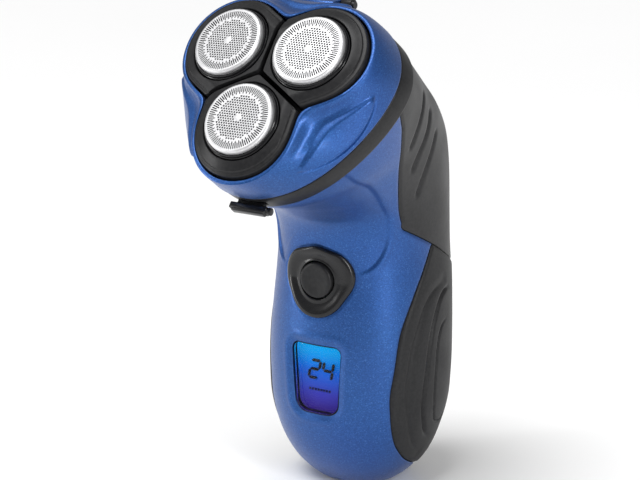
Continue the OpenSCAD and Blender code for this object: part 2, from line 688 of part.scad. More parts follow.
module cutter(i) {
    color(STEEL) at_foil(i) difference() {
        union() {
            translate([0, 0, -4.6]) cylinder(r = foil_r - 1.5, h = 1);
            translate([0, 0, -9]) cylinder(r = 4.2, h = 6.4);
            for (b = [0 : blades - 1]) rotate([0, 0, b * 360 / blades])
                translate([6.8, -0.35, -3.7]) rotate([12, 0, 0]) cube([2.9, 0.7, 2.7]);
        }
        translate([0, 0, -10]) cylinder(r = socket_r, h = 5.2);
        for (b = [0 : 2]) rotate([0, 0, b * 120]) translate([5.8, 0, -6]) cylinder(r = 1.1, h = 4);
    }
}

// ---- drive ----
function inv_a(r, rb) = let (c = acos(min(1, rb / r))) tan(c) * 180 / PI - c;
function gear_pts(z) =
    let (rp = mod * z / 2, rb = rp * cos(20), rt = rp + 0.9 * mod, rr = rp - 1.25 * mod)
    let (h0 = 90 / z + inv_a(rp, rb) - gear_slack / 2 / rp * 180 / PI)
    let (rs = [for (t = [0 : 3]) lerp(max(rb, rr + 0.05), rt, t / 3)])
    [for (k = [0 : z - 1]) each let (a0 = k * 360 / z) concat(
        [for (a = [-1]) rr * [cos(a0 - h0 - 0.8), sin(a0 - h0 - 0.8)]],
        [for (r = rs) r * [cos(a0 - h0 + inv_a(r, rb)), sin(a0 - h0 + inv_a(r, rb))]],
        [for (t = [3 : -1 : 0]) rs[t] * [cos(a0 + h0 - inv_a(rs[t], rb)), sin(a0 + h0 - inv_a(rs[t], rb))]],
        [for (a = [1]) rr * [cos(a0 + h0 + 0.8), sin(a0 + h0 + 0.8)]])];
function gear_turn(i) =
    let (phi = 30 + 120 * i, p1 = 360 / pinion_teeth, d1 = -(phi % p1))
    phi + 180 - d1 * pinion_teeth / gear_teeth - 180 / gear_teeth;
module drive_gear(i) {
    color([0.9, 0.9, 0.86]) at_spindle(i) difference() {
        union() {
            translate([0, 0, floor_h + 2.4]) rotate([0, 0, gear_turn(i) - 30 - 120 * i])
                linear_extrude(gear_t) polygon(gear_pts(gear_teeth));
            translate([0, 0, floor_h + 1.8]) cylinder(r = 3.2, h = gear_t + 0.9);
        }
        translate([0, 0, floor_h]) cylinder(r = spindle_r, h = 10);
        for (a = [0 : 60 : 300]) rotate([0, 0, a]) translate([7, 0, floor_h]) cylinder(r = 2.2, h = 8);
    }
}
module spindle(i) {
    color([0.85, 0.85, 0.82]) at_spindle(i) {
        translate([0, 0, floor_h + 1.7]) cylinder(r = spindle_r, h = -floor_h - 1.7 - 9.6);
        translate([0, 0, floor_h + 0.7]) cylinder(r = 1, h = 1.2);
        translate([0, 0, -9.6]) cylinder(r1 = spindle_r, r2 = 1.5, h = 2.6);
        translate([0, 0, -17.6]) cylinder(r = spindle_r + 1.2, h = 0.8);
    }
}
module motor_pinion() {
    color([0.8, 0.65, 0.3]) in_head() difference() {
        translate([0, 0, floor_h + 2]) linear_extrude(gear_t + 0.5) polygon(gear_pts(pinion_teeth));
        translate([0, 0, floor_h]) cylinder(r = 1, h = 10);
    }
}
module motor_shaft() {
    color(STEEL) in_head() {
        translate([0, 0, floor_h - 7]) cylinder(r = 1, h = 11.2);
        translate([0, 0, floor_h + 4.2]) cylinder(r1 = 1, r2 = 0.7, h = 0.3);
    }
}

// ---- pop-up trimmer ----
module trimmer_arm() {
    color(GREY) difference() {
        union() {
            intersection() {
                difference() {
                    body_solid(0.1);
                    body_solid(3.1, 40);
                }
                translate([-trim_half_w, trim_y - 7, trim_z]) cube([2 * trim_half_w, 20, 27]);
            }
            intersection() {
                body_solid(0.1);
                translate([0, trim_y, trim_z]) rotate([0, 90, 0])
                    cylinder(r = trim_barrel, h = 2 * trim_half_w, center = true);
            }
            translate([-12, trim_y - 1.65, trim_z + 17]) cube([24, 2.4, 9.4]);
        }
        translate([0, trim_y, trim_z]) rotate([0, 90, 0]) cylinder(r = 0.8, h = 80, center = true);
        translate([-12.8, trim_y - 9.65, trim_z + 21.3]) cube([25.6, 8, 10]);
        for (i = [0 : 8]) hull() {
            translate([-6 + 0.3 * i, 31.2, trim_z + 19 - 1.6 * i]) sphere(0.5, $fn = 8);
            translate([6 - 0.3 * i, 31.2, trim_z + 19 - 1.6 * i]) sphere(0.5, $fn = 8);
        }
    }
}
module trimmer_comb() {
    color(STEEL) difference() {
        translate([-12.5, trim_y - 2.4, trim_z + 21.5]) cube([25, 0.7, 8.7]);
        for (i = [-11 : 11]) translate([i * 1.1 - 0.25, 23, trim_z + 28]) cube([0.5, 4, 4]);
    }
}
module trimmer_blade() {
    color(STEEL) difference() {
        union() {
            translate([-11, trim_y - 3.4, trim_z + 22.5]) cube([22, 0.7, 7.4]);
            translate([-3, trim_y - 5, trim_z + 22.5]) cube([6, 1.7, 4]);
        }
        for (i = [-9 : 9]) translate([i * 1.15 - 0.3, 23, trim_z + 27.8]) cube([0.6, 4, 4]);
    }
}
module trimmer_pin() {
    color(STEEL) translate([0, trim_y, trim_z]) rotate([0, 90, 0]) {
        cylinder(r = 0.8, h = 2 * trim_half_w + 2.6, center = true);
        for (m = [0, 1]) mirror([0, 0, m]) translate([0, 0, trim_half_w + 1.3])
            cylinder(r1 = 0.8, r2 = 0.6, h = 0.3);
    }
}
module trimmer_switch() {
    color(BLACK) difference() {
        union() {
            translate([-4, 29.5, 73.6]) cube([8, 2, 5.6]);
            translate([-3, 25, 74.4]) cube([6, 4.8, 4]);
        }
        for (i = [0 : 3]) translate([-5, 31.1, 74.2 + i * 1.3]) cube([10, 1, 0.6]);
    }
}

front_shell();
rear_cover();
rear_grip();
inner_frame();
collar();
gear_plate();
hinge_pin();
motor();
cell(-1);  // cell_left
cell(1);  // cell_right
cell_straps();
circuit_board();
tact_switch();
lcd_module();
backlight();
display_window();
button_bezel();
inlet_socket();
inlet_pins();
plate_screws();
power_button();
head_latch();
head_cover();
retaining_frame();
segment(0);  // segment_right
segment(1);  // segment_left
segment(2);  // segment_front
foil(0);  // foil_right
foil(1);  // foil_left
foil(2);  // foil_front
foil_ring(0);  // foil_ring_right
foil_ring(1);  // foil_ring_left
foil_ring(2);  // foil_ring_front
cutter(0);  // cutter_right
cutter(1);  // cutter_left
cutter(2);  // cutter_front
drive_gear(0);  // drive_gear_right
drive_gear(1);  // drive_gear_left
drive_gear(2);  // drive_gear_front
spindle(0);  // spindle_right
spindle(1);  // spindle_left
spindle(2);  // spindle_front
motor_pinion();
motor_shaft();
trimmer_arm();
trimmer_comb();
trimmer_blade();
trimmer_pin();
trimmer_switch();
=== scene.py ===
"""Three-head rotary shaver: detailed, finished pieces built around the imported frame.

Shapes are worked out in millimetres in the frame's own axes and scaled to metres when placed.
"""

import json
import math

import bmesh
import bpy
import numpy as np
from mathutils import Matrix, Vector
from numpy.linalg import norm


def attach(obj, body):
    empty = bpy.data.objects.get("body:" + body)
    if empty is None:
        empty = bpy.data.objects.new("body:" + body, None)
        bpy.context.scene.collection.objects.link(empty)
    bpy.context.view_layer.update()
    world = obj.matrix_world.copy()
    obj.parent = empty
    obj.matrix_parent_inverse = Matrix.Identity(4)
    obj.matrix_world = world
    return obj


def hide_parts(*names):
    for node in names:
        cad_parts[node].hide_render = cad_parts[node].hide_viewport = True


MM = 0.001

# the head's frame: origin, tilt back from upright, and the foils' places in it
HEAD_Y = -57.8
HEAD_Z = 144.8
HEAD_TILT = math.radians(51)
FOIL_PCR = 16.6
FOIL_TILT = math.radians(3.3)
FOIL_R = 11.4
RING_R = 12.4
RING_GAP = 0.35
LOBE_PCR = 17.4
LOBE_R = 16.3
GROOVE_W = 1.4
EDGE_R = 36.4
EDGE_BULGE = 1.75
EDGE_FLAT = 0.16
EDGE_BACK = 4.0
COVER_DEPTH = 19.0
COVER_T = 1.8
RIM_GAP = 0.7
COLLAR_DEPTH = 6.8
FLOOR_H = -COVER_DEPTH - 0.3 - COLLAR_DEPTH
HINGE_S = EDGE_BACK + (EDGE_R - EDGE_BULGE) * (1 - EDGE_FLAT) + 1.9
HINGE_H = -COVER_DEPTH - 1
HINGE_R = 2
HINGE_EARS = (-8.2, 8.2)
SCREW_R = 23.5
FOIL_SIDES = (("right", 30), ("left", 150), ("front", 270))

# the handle
WALL = 2.2
SEAM = 0.15
BUTTON_Z = 72.2
BUTTON_R = 5.8
BUTTON_GAP = 0.35
BEZEL_HALF_W = 12.7
DISPLAY_Z0 = 27.8
DISPLAY_Z1 = 51.2
DISPLAY_HALF_W = 9.2
TRIM_HALF_W = 14.5
TRIM_Y = 27.6
TRIM_Z = 87.0
TRIM_GAP = 0.4
TRIM_BARREL = 3.2
INLET_HALF_W = 5.2
LENS_R = 40.6
LENS_AXIS_Y = 13.2
LENS_T = 1.2
MASK_BACK_Y = -24.3
MARK_Y = -24.2
MARK_T = 0.12
PARTING_DEPTH = 0.45
PARTING_HALF_W = 0.55
CREASE_DEPTH = 0.62
CREASE_TOP = 118
DISPLAY_DISH = 0.85
DISPLAY_DISH_W = 2.4
# how many of the sections lie below the neck, where the front is read from them alone
FRONT_SECTIONS = 14

# the view: degrees round from the front towards +X, degrees up, metres away, and its target
VIEW_AZIMUTH = 32
VIEW_ELEVATION = 15
VIEW_DISTANCE = 0.714
VIEW_TARGET = (0, 0, 0.078)
VIEW_SENSOR = 36
VIEW_LENS = 123.75
# how far the view slides across and up, as a share of its width
VIEW_SHIFT_X = -0.0640625
VIEW_SHIFT_Y = 0.00625

CURVE_STEPS = 8
HULL_CIRCLE_POINTS = 80
HULL_POINTS = 160

# sections of the handle: front y, front z, back y, back z, half width, squareness, corner swing
SECTIONS = [
    (-11, 0, 11, 0, 11.4, 2.3, 0),
    (-12.9, 0.7, 13, 0.7, 13.4, 2.3, 0),
    (-14.7, 2.1, 14.9, 2.1, 15.4, 2.3, 0),
    (-17.2, 4.4, 17.2, 4.4, 18, 2.28, 0),
    (-19.8, 7.4, 19.4, 7.4, 20.7, 2.25, 0),
    (-22.8, 12, 21.8, 12, 23.6, 2.2, 0),
    (-25.4, 18, 24, 18, 26, 2.2, 0),
    (-27.7, 27.5, 26.8, 26.5, 28.2, 2.2, 0),
    (-28.6, 37.5, 28.3, 36.5, 28.8, 2.2, 0),
    (-28.5, 50.6, 29.2, 49.4, 28.7, 2.2, 0),
    (-27.6, 60.8, 29.9, 59.2, 28.1, 2.2, 0),
    (-26.4, 72, 30.4, 70, 27.3, 2.2, 0),
    (-26.2, 80, 30.5, 78.5, 26.6, 2.2, 0),
    (-27.4, 87, 30.7, 88.5, 26.4, 2.2, 0),
    (-31.3, 93, 30.6, 99.5, 26.8, 2.2, 0),
    (-38, 97, 29.4, 109, 27.6, 2.2, 0.005),
    (-44.6, 99.4, 25.2, 119.3, 28.8, 2.2, 0.015),
    (-50, 100.9, 16.8, 128.8, 30.4, 2.15, 0.03),
    (-54.4, 101.8, 4.4, 138.6, 32.4, 2.1, 0.04),
]
# outlines in the side view (y, z): curved front edge of the grip, front edge of the rear cover
GRIP_FRONT = [(12.6, -1), (8.5, 3.2), (-1.8, 7.5), (-8, 10.8), (-12.1, 14.5), (-15, 18.5),
              (-17, 23.5), (-18.2, 29), (-18.6, 35), (-17.7, 42.4), (-15.2, 55.2), (-9.5, 66.5),
              (-4.3, 74.4), (0.6, 81.7)]
GRIP_REST = [(7.1, 78), (30, 65.4), (60, 50.8), (60, -1)]
COVER_FRONT = [(-50, 150), (-30.7, 125.7), (-21.6, 107.2), (-13.6, 91)]
COVER_REST = [(-13.5, 89.8), (-12.9, 89), (-12.3, 88.6), (-1, 82.6), (7.1, 78), (30, 65.4),
              (60, 50.8), (60, 190), (-20, 190)]
# moulded lines in the side view: points, width, depth
GRIP_LINES = [
    ([(5.9, 68.8), (-3.8, 64.3), (-10.7, 52.7), (-13.9, 40.1), (-13.6, 29.9), (-9.4, 18.3),
      (-3, 12.6)], 0.8, 0.35),
    ([(12, 63.9), (8.6, 65.4), (3.4, 63.2), (-1.6, 56), (-4.8, 47), (-7.1, 33), (-6.6, 26),
      (-3.4, 19.6), (1.5, 17)], 1.0, 0.95),
    ([(8.1, 56.3), (3.2, 54), (0.2, 48.4), (-1.2, 39), (-1.4, 30.2), (0.1, 23.6), (4.6, 21.2),
      (9, 23), (12.2, 27.5)], 0.6, 0.5),
]
FINGER_LINES = [
    ([(-12, 134.4), (-15.6, 129.8), (-19.4, 122.6), (-21.6, 116)], 1.5, 0.8),
    ([(-7.6, 128.4), (-10.6, 121), (-14.4, 113.4), (-16, 107.4)], 1.6, 0.85),
    ([(-2.2, 120.6), (-5.4, 112), (-8.6, 104), (-10, 98)], 1.5, 0.75),
]
# the curved crease beside the button, in the front view (x, z), for +X
CREASE = [(25.6, 116), (24.4, 106), (22.6, 98.2), (21.7, 91.4), (20.6, 84.8), (18.9, 79.6),
          (16.4, 76.6), (12.6, 74.8)]


# ---- small geometry helpers ----
def turns(n):
    """The angles of n points spread evenly round a circle."""
    return np.arange(n) * 2 * math.pi / n


def smoothstep(t):
    t = np.clip(t, 0, 1)
    return t * t * (3 - 2 * t)


def curve(points):
    """A smooth line through the points (Catmull-Rom)."""
    p = np.array(points, float)
    p = np.vstack([2 * p[0] - p[1], p, 2 * p[-1] - p[-2]])
    out = []
    for i in range(1, len(p) - 2):
        for t in np.arange(CURVE_STEPS) / CURVE_STEPS:
            out.append(0.5 * (2 * p[i] + (p[i + 1] - p[i - 1]) * t
                              + (2 * p[i - 1] - 5 * p[i] + 4 * p[i + 1] - p[i + 2]) * t ** 2
                              + (3 * p[i] - p[i - 1] - 3 * p[i + 1] + p[i + 2]) * t ** 3))
    out.append(p[-2])
    return np.array(out)


def line_distance(points, line, closed=False):
    """Distance of each 2-D point to a line of segments, and how far along the line it is, 0 to 1."""
    line = np.array(line, float)
    if closed:
        line = np.vstack([line, line[:1]])
    best = np.full(len(points), 1e9)
    along = np.zeros(len(points))
    lengths = norm(np.diff(line, axis=0), axis=1)
    starts = np.concatenate([[0], np.cumsum(lengths)])
    for k in range(len(line) - 1):
        d = line[k + 1] - line[k]
        t = np.clip(((points - line[k]) @ d) / max(d @ d, 1e-12), 0, 1)
        dist = norm(points - line[k] - t[:, None] * d, axis=1)
        near = dist < best
        best[near] = dist[near]
        along[near] = (starts[k] + t[near] * lengths[k]) / starts[-1]
    return best, along


def inside(points, polygon):
    """True for each 2-D point inside the closed polygon."""
    polygon = np.array(polygon, float)
    result = np.zeros(len(points), bool)
    for a, b in zip(polygon, np.roll(polygon, -1, axis=0)):
        crosses = (a[1] > points[:, 1]) != (b[1] > points[:, 1])
        slope = (b[0] - a[0]) / (b[1] - a[1] + 1e-12)
        result ^= crosses & (points[:, 0] < a[0] + (points[:, 1] - a[1]) * slope)
    return result


def offset_outline(outline, distance):
    """The outline moved outwards by distance, for an outline that runs either way round."""
    p = np.array(outline, float)
    area = np.sum(p[:, 0] * np.roll(p[:, 1], -1) - np.roll(p[:, 0], -1) * p[:, 1])
    before, after = p - np.roll(p, 1, axis=0), np.roll(p, -1, axis=0) - p
    normals = []
    for edge in (before, after):
        n = np.stack([edge[:, 1], -edge[:, 0]], axis=1)
        normals.append(n / np.maximum(norm(n, axis=1), 1e-9)[:, None])
    n = normals[0] + normals[1]
    n /= np.maximum(np.sum(n * normals[0], axis=1), 0.35)[:, None]
    return p + n * distance * math.copysign(1, area)


def hull_outline(circles):
    """The outline round a set of circles (x, z, radius), as evenly spaced points."""
    points = []
    for x, z, r in circles:
        for a in turns(HULL_CIRCLE_POINTS):
            points.append((x + r * math.cos(a), z + r * math.sin(a)))
    points = sorted(points)

    def half(run):
        kept = []
        for p in run:
            while len(kept) > 1 and ((kept[-1][0] - kept[-2][0]) * (p[1] - kept[-2][1])
                                     - (kept[-1][1] - kept[-2][1]) * (p[0] - kept[-2][0])) <= 0:
                kept.pop()
            kept.append(p)
        return kept[:-1]

    outline = np.array(half(points) + half(points[::-1]))
    closed = np.vstack([outline, outline[:1]])
    length = np.concatenate([[0], np.cumsum(norm(np.diff(closed, axis=0), axis=1))])
    even = np.linspace(0, length[-1], HULL_POINTS, endpoint=False)
    return np.stack([np.interp(even, length, closed[:, k]) for k in (0, 1)], axis=1)


def bezel_outline(grow=0.0):
    side = BEZEL_HALF_W - 8.7
    return hull_outline([(0, BUTTON_Z - 1.6, 10.5 + grow), (side, BUTTON_Z + 1.4, 8.7 + grow),
                         (-side, BUTTON_Z + 1.4, 8.7 + grow), (0, BUTTON_Z + 2.6, 8.6 + grow)])


def display_outline(grow=0.0):
    top, low = DISPLAY_HALF_W - 2.7, DISPLAY_HALF_W - 5.4
    return hull_outline([(top, DISPLAY_Z1 - 2.7, 2.7 + grow), (-top, DISPLAY_Z1 - 2.7, 2.7 + grow),
                         (low, DISPLAY_Z0 + 4.4, 4.4 + grow), (-low, DISPLAY_Z0 + 4.4, 4.4 + grow)])


def grip_outline():
    return np.vstack([curve(GRIP_FRONT), GRIP_REST])


def cover_outline():
    return np.vstack([COVER_FRONT, COVER_REST])


def head_point(x, s, h):
    """A point of the head's frame (across, back, out) in the part's frame."""
    c, t = math.cos(HEAD_TILT), math.sin(HEAD_TILT)
    x, s, h = np.broadcast_arrays(x, s, h)
    return np.stack([x, HEAD_Y + s * c - h * t, HEAD_Z + s * t + h * c], axis=-1)


def head_round(radius, angle, h):
    """Points of the head's frame at these radii and angles round its axis."""
    return head_point(radius * np.cos(angle), radius * np.sin(angle), h)


def tri_outline(angle, radius, centre, flat):
    """The head's rounded three-cornered outline at these angles."""
    r = radius + EDGE_BULGE * np.cos(3 * (angle - math.radians(30)))
    s = r * np.sin(angle)
    return r * np.cos(angle), centre + np.where(s > 0, s * (1 - flat), s)


def edge_outline(angle, grow=0.0):
    return tri_outline(angle, EDGE_R + grow, EDGE_BACK, EDGE_FLAT)


def collar_outline(angle, grow=0.0):
    return tri_outline(angle, EDGE_R + 0.4 + grow, EDGE_BACK + 1.8, EDGE_FLAT + 0.08)


# ---- mesh helpers ----
def add_object(name, data):
    obj = bpy.data.objects.new(name, data)
    bpy.context.scene.collection.objects.link(obj)
    return obj


def new_object(name, verts, faces):
    mesh = bpy.data.meshes.new(name)
    mesh.from_pydata(np.asarray(verts, float).tolist(), [], faces)
    mesh.validate()
    return add_object(name, mesh)


def grid_faces(rows, columns, wrap_rows=False):
    """Faces between rings of points; each ring closes on itself."""
    faces = []
    for i in range(rows if wrap_rows else rows - 1):
        a, b = i * columns, ((i + 1) % rows) * columns
        for j in range(columns):
            k = (j + 1) % columns
            faces.append((a + j, a + k, b + k, b + j))
    return faces


def fix_normals(obj):
    bm = bmesh.new()
    bm.from_mesh(obj.data)
    bmesh.ops.recalc_face_normals(bm, faces=bm.faces)
    bm.to_mesh(obj.data)
    bm.free()


def tube(name, rings):
    """A solid between its first and last ring, which are closed by flat caps."""
    rings = [np.asarray(r) for r in rings]
    n = len(rings[0])
    faces = grid_faces(len(rings), n)
    faces.append(tuple(range(n))[::-1])
    faces.append(tuple((len(rings) - 1) * n + j for j in range(n)))
    obj = new_object(name, np.vstack(rings), faces)
    fix_normals(obj)
    return obj


def torus(name, rings):
    """A solid whose last ring joins its first, such as a lathed ring."""
    rings = [np.asarray(r) for r in rings]
    obj = new_object(name, np.vstack(rings), grid_faces(len(rings), len(rings[0]), True))
    fix_normals(obj)
    return obj


def circle(radius, height, n):
    a = turns(n)
    return np.stack([radius * np.cos(a), radius * np.sin(a), np.full(n, float(height))], axis=1)


def lathe(name, profile, n):
    """A ring turned from a closed profile of (radius, height)."""
    return torus(name, [circle(radius, h, n) for radius, h in profile])


def prism_x(name, outline, half):
    """A side-view outline (y, z) as a solid from x = -half to x = half."""
    y, z = np.array(outline).T
    return tube(name, [np.stack([np.full(len(y), x), y, z], axis=1) for x in (-half, half)])


def prism_y(name, outline, y0, y1):
    """A front-view outline (x, z) as a solid between two values of y."""
    x, z = np.array(outline).T
    return tube(name, [np.stack([x, np.full(len(x), y), z], axis=1) for y in (y0, y1)])


def block(name, low, high):
    return prism_y(name, [(low[0], low[2]), (high[0], low[2]), (high[0], high[2]),
                          (low[0], high[2])], low[1], high[1])


def rod_x(name, y, z, radius, half, n=48):
    a = turns(n)
    return prism_x(name, np.stack([y + radius * np.cos(a), z + radius * np.sin(a)], axis=1), half)


def boolean(obj, tools, operation="DIFFERENCE"):
    """Cuts the tools from obj (or keeps what they share) and deletes them."""
    for tool in tools:
        modifier = obj.modifiers.new("cut", "BOOLEAN")
        modifier.operation = operation
        modifier.solver = "MANIFOLD"
        modifier.object = tool
    graph = bpy.context.evaluated_depsgraph_get()
    mesh = bpy.data.meshes.new_from_object(obj.evaluated_get(graph))
    obj.modifiers.clear()
    obj.data = mesh
    for tool in tools:
        bpy.data.objects.remove(tool)
    return obj


def join(name, objects):
    """Several meshes as one object."""
    bm = bmesh.new()
    for o in objects:
        bm.from_mesh(o.data)
    mesh = bpy.data.meshes.new(name)
    bm.to_mesh(mesh)
    bm.free()
    for o in objects:
        bpy.data.objects.remove(o)
    return add_object(name, mesh)


def transform(obj, matrix):
    obj.data.transform(matrix)
    return obj


def soften(obj, width, segments=2, angle=35):
    """Rounds the sharp edges."""
    bm = bmesh.new()
    bm.from_mesh(obj.data)
    sharp = [e for e in bm.edges
             if e.is_manifold and e.calc_face_angle(0) > math.radians(angle)]
    bmesh.ops.bevel(bm, geom=sharp, offset=width, segments=segments, affect="EDGES",
                    clamp_overlap=True, profile=0.5)
    bm.to_mesh(obj.data)
    bm.free()


def place(obj, body, slot, material, replaces=(), smooth=38):
    """Scales a finished millimetre mesh to metres and hands it to the frame."""
    obj.data.transform(Matrix.Scale(MM, 4))
    obj.data.materials.clear()
    obj.data.materials.append(material)
    obj.data.shade_smooth()
    obj.data.set_sharp_from_angle(angle=math.radians(smooth))
    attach(obj, body)
    if replaces:
        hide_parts(*replaces)


HEAD_MATRIX = Matrix.Translation((0, HEAD_Y, HEAD_Z)) @ Matrix.Rotation(HEAD_TILT, 4, "X")


def head_turn(angle):
    """The head's frame turned about its axis by an angle in degrees."""
    return HEAD_MATRIX @ Matrix.Rotation(math.radians(angle), 4, "Z")


def foil_matrix(angle):
    return (head_turn(angle) @ Matrix.Translation((FOIL_PCR, 0, 0))
            @ Matrix.Rotation(FOIL_TILT, 4, "Y"))


# ---- the handle's surface ----
def section_ring(section, inset, n):
    """One section of the handle as a ring of points, inset inside it."""
    front, back = np.array(section[0:2], float), np.array(section[2:4], float)
    half, width, square, swing = (back - front) / 2, section[4], section[5], section[6]
    depth = norm(half)
    along = half / depth
    centre = front + half * (1 + swing)
    a = turns(n)
    k = 1 + swing * np.cos(3 * (a - math.radians(30)))
    sine = np.sign(np.sin(a)) * np.abs(np.sin(a)) ** (2 / square)
    cosine = np.sign(np.cos(a)) * np.abs(np.cos(a)) ** (2 / square)
    q = (depth - inset) * k * sine
    return np.stack([(width - inset) * k * cosine, centre[0] + q * along[0],
                     centre[1] + q * along[1]], axis=1)


def body_rings(inset, n, spacing):
    """Rings of the handle's surface from its base to the collar, inset inside it."""
    x, s = collar_outline(turns(n), -inset - 0.5)
    control = [section_ring(row, inset, n) for row in SECTIONS] + [head_point(x, s, FLOOR_H)]
    control = np.array(control)
    steps = norm(np.diff(control, axis=0), axis=2).mean(axis=1)
    t = np.concatenate([[0], np.cumsum(steps)])
    slope = np.gradient(control, t, axis=0)
    rows = []
    for i in range(len(control) - 1):
        gap = t[i + 1] - t[i]
        count = max(2, int(round(gap / spacing)))
        for u in np.arange(count) / count:
            rows.append((2 * u ** 3 - 3 * u ** 2 + 1) * control[i]
                        + (u ** 3 - 2 * u ** 2 + u) * gap * slope[i]
                        + (3 * u ** 2 - 2 * u ** 3) * control[i + 1]
                        + (u ** 3 - u ** 2) * gap * slope[i + 1])
    rows.append(control[-1])
    return np.array(rows)


def ring_normals(rings):
    along = np.gradient(rings, axis=0)
    round_ = (np.roll(rings, -1, axis=1) - np.roll(rings, 1, axis=1)) / 2
    normal = np.cross(round_, along)
    return normal / np.maximum(norm(normal, axis=2), 1e-9)[:, :, None]


def moulded_lines(side, lines):
    """How deep the moulded lines press in at each side-view point."""
    depth = np.zeros(len(side))
    for points, width, deep in lines:
        distance, along = line_distance(side, curve(points))
        fade = smoothstep(along / 0.12) * smoothstep((1 - along) / 0.12)
        depth = np.maximum(depth, deep * fade * np.exp(-(distance / width * 1.5) ** 2))
    return depth


def crease_relief(front):
    """The soft step of the crease beside the button, the same on both sides."""
    mirrored = np.stack([np.abs(front[:, 0]), front[:, 1]], axis=1)
    distance, along = line_distance(mirrored, curve(CREASE))
    closed = np.vstack([curve(CREASE), [(0, 74.8), (0, 125), (25.6, 125)]])
    within = np.where(inside(mirrored, closed), distance, -distance)
    fade = smoothstep(along / 0.1) * smoothstep((1 - along) / 0.15)
    dip = -CREASE_DEPTH * smoothstep((within + 0.3) / 0.75) * np.exp(-np.maximum(within, 0) / 6)
    dip += 0.2 * np.exp(-((within + 0.75) / 0.7) ** 2)
    return dip * fade


def body_relief(p):
    """How far each point of the handle's surface moves out (+) or in (-)."""
    side, front = p[:, 1:3], p[:, [0, 2]]
    grip, cover = grip_outline(), cover_outline()
    in_grip, in_cover = inside(side, grip), inside(side, cover)
    seam = np.minimum(line_distance(side, grip, True)[0], line_distance(side, cover, True)[0])
    move = -PARTING_DEPTH * np.exp(-(seam / PARTING_HALF_W) ** 2)
    outer = np.abs(p[:, 0]) > 6
    move -= np.where(in_grip & outer, moulded_lines(side, GRIP_LINES), 0)
    move -= np.where(in_cover & outer, moulded_lines(side, FINGER_LINES), 0)
    from_line = line_distance(side, curve(GRIP_LINES[0][0]))[0]
    move += np.where(in_grip, 0.25 * smoothstep(from_line / 3), 0)
    ahead = (p[:, 1] < -6) & ~in_grip & ~in_cover
    move += np.where(ahead & (front[:, 1] < CREASE_TOP), crease_relief(front), 0)
    facing = p[:, 1] < -15
    rim = line_distance(front, display_outline(), True)[0]
    rim = np.where(inside(front, display_outline()), 0, rim)
    move -= np.where(facing, DISPLAY_DISH * (1 - smoothstep(rim / DISPLAY_DISH_W)), 0)
    move += np.where(facing, 0.12 * np.exp(-((rim - 2.9) / 0.9) ** 2), 0)
    rim = line_distance(front, bezel_outline(), True)[0]
    move -= np.where(facing, 0.3 * np.exp(-(rim / 0.5) ** 2), 0)
    return move


def body_surface(name, inset=0.0):
    """The whole handle as one solid with its moulded relief."""
    n, spacing = ((440, 0.42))
    rings = body_rings(inset, n, spacing)
    normal = ring_normals(rings)
    centre = rings.mean(axis=1, keepdims=True)
    if np.mean(np.sum(normal * (rings - centre), axis=2)) < 0:
        normal = -normal
    flat = rings.reshape(-1, 3)
    move = body_relief(flat) * smoothstep((flat[:, 2] - 0.5) / 3)
    rings = (flat + normal.reshape(-1, 3) * move[:, None]).reshape(rings.shape)
    return tube(name, rings)


def body_hollow():
    """The room inside the handle's walls."""
    rings = body_rings(WALL + 0.3, 64, 4.0)
    keep = [r for r in rings if r[:, 2].mean() > 9]
    x, s = collar_outline(turns(64), -WALL - 0.8)
    return tube("hollow", keep + [head_point(x, s, FLOOR_H + 6)])


def front_shell(material):
    shell = body_surface("front_shell_moulding")
    tools = [body_hollow(),
             prism_x("grip_zone", offset_outline(grip_outline(), SEAM), 60),
             prism_x("cover_zone", offset_outline(cover_outline(), SEAM), 60),
             prism_y("bezel_hole", bezel_outline(-1.2), -50, -12),
             prism_y("display_hole", display_outline(0.1), -50, -12),
             block("inlet_hole", (-INLET_HALF_W - 1.2, 1.5, -1), (INLET_HALF_W + 1.2, 9.7, 7))]
    place(boolean(shell, tools), "handle", "blue_plastic", material, ["front_shell"])


def panel(name, outline):
    """The part of the handle's wall that lies inside a side-view outline."""
    wall = body_surface(name)
    boolean(wall, [prism_x("zone", offset_outline(outline, -SEAM), 60)], "INTERSECT")
    return boolean(wall, [body_hollow()])


def rear_grip(material):
    grip = panel("grip_moulding", grip_outline())
    tools = [block("inlet_hole", (-INLET_HALF_W - 1.3, 1.4, -1), (INLET_HALF_W + 1.3, 9.8, 7))]
    place(boolean(grip, tools), "handle", "soft_grip", material, ["rear_grip"])


def keep_inside(obj, inset, n, spacing):
    """Keeps what lies inside the handle's surface, without its relief."""
    boolean(obj, [tube("limit", body_rings(inset, n, spacing))], "INTERSECT")


def trimmer_pocket():
    """The room in the rear cover that the folded trimmer lies in."""
    w, r = TRIM_HALF_W + TRIM_GAP, TRIM_BARREL + TRIM_GAP
    return [block("pocket", (-w, TRIM_Y - 7.4, TRIM_Z), (w, 45, TRIM_Z + 30.9)),
            rod_x("pocket_round", TRIM_Y, TRIM_Z, r, w),
            block("pocket_low", (-w, TRIM_Y, TRIM_Z - r), (w, 45, TRIM_Z + 1))]


def rear_cover(material):
    cover = panel("rear_cover_moulding", cover_outline())
    w = TRIM_HALF_W + 3
    walls = block("walls", (-w, TRIM_Y - 9.2, TRIM_Z - 6), (w, TRIM_Y + 3.8, TRIM_Z + 32))
    inner = block("inner", (1.6 - w, TRIM_Y - 7.8, TRIM_Z - 4.4), (w - 1.6, 60, TRIM_Z + 32.4))
    boolean(walls, [inner])
    keep_inside(walls, 0.5, 64, 4.0)
    boolean(cover, [walls], "UNION")
    tools = trimmer_pocket() + [rod_x("pin_hole", TRIM_Y, TRIM_Z, 0.85, TRIM_HALF_W + 2.5),
                                block("switch_hole", (-4.4, 20, 73.2), (4.4, 40, 82.8))]
    place(boolean(cover, tools), "handle", "grey_plastic", material, ["rear_cover"])


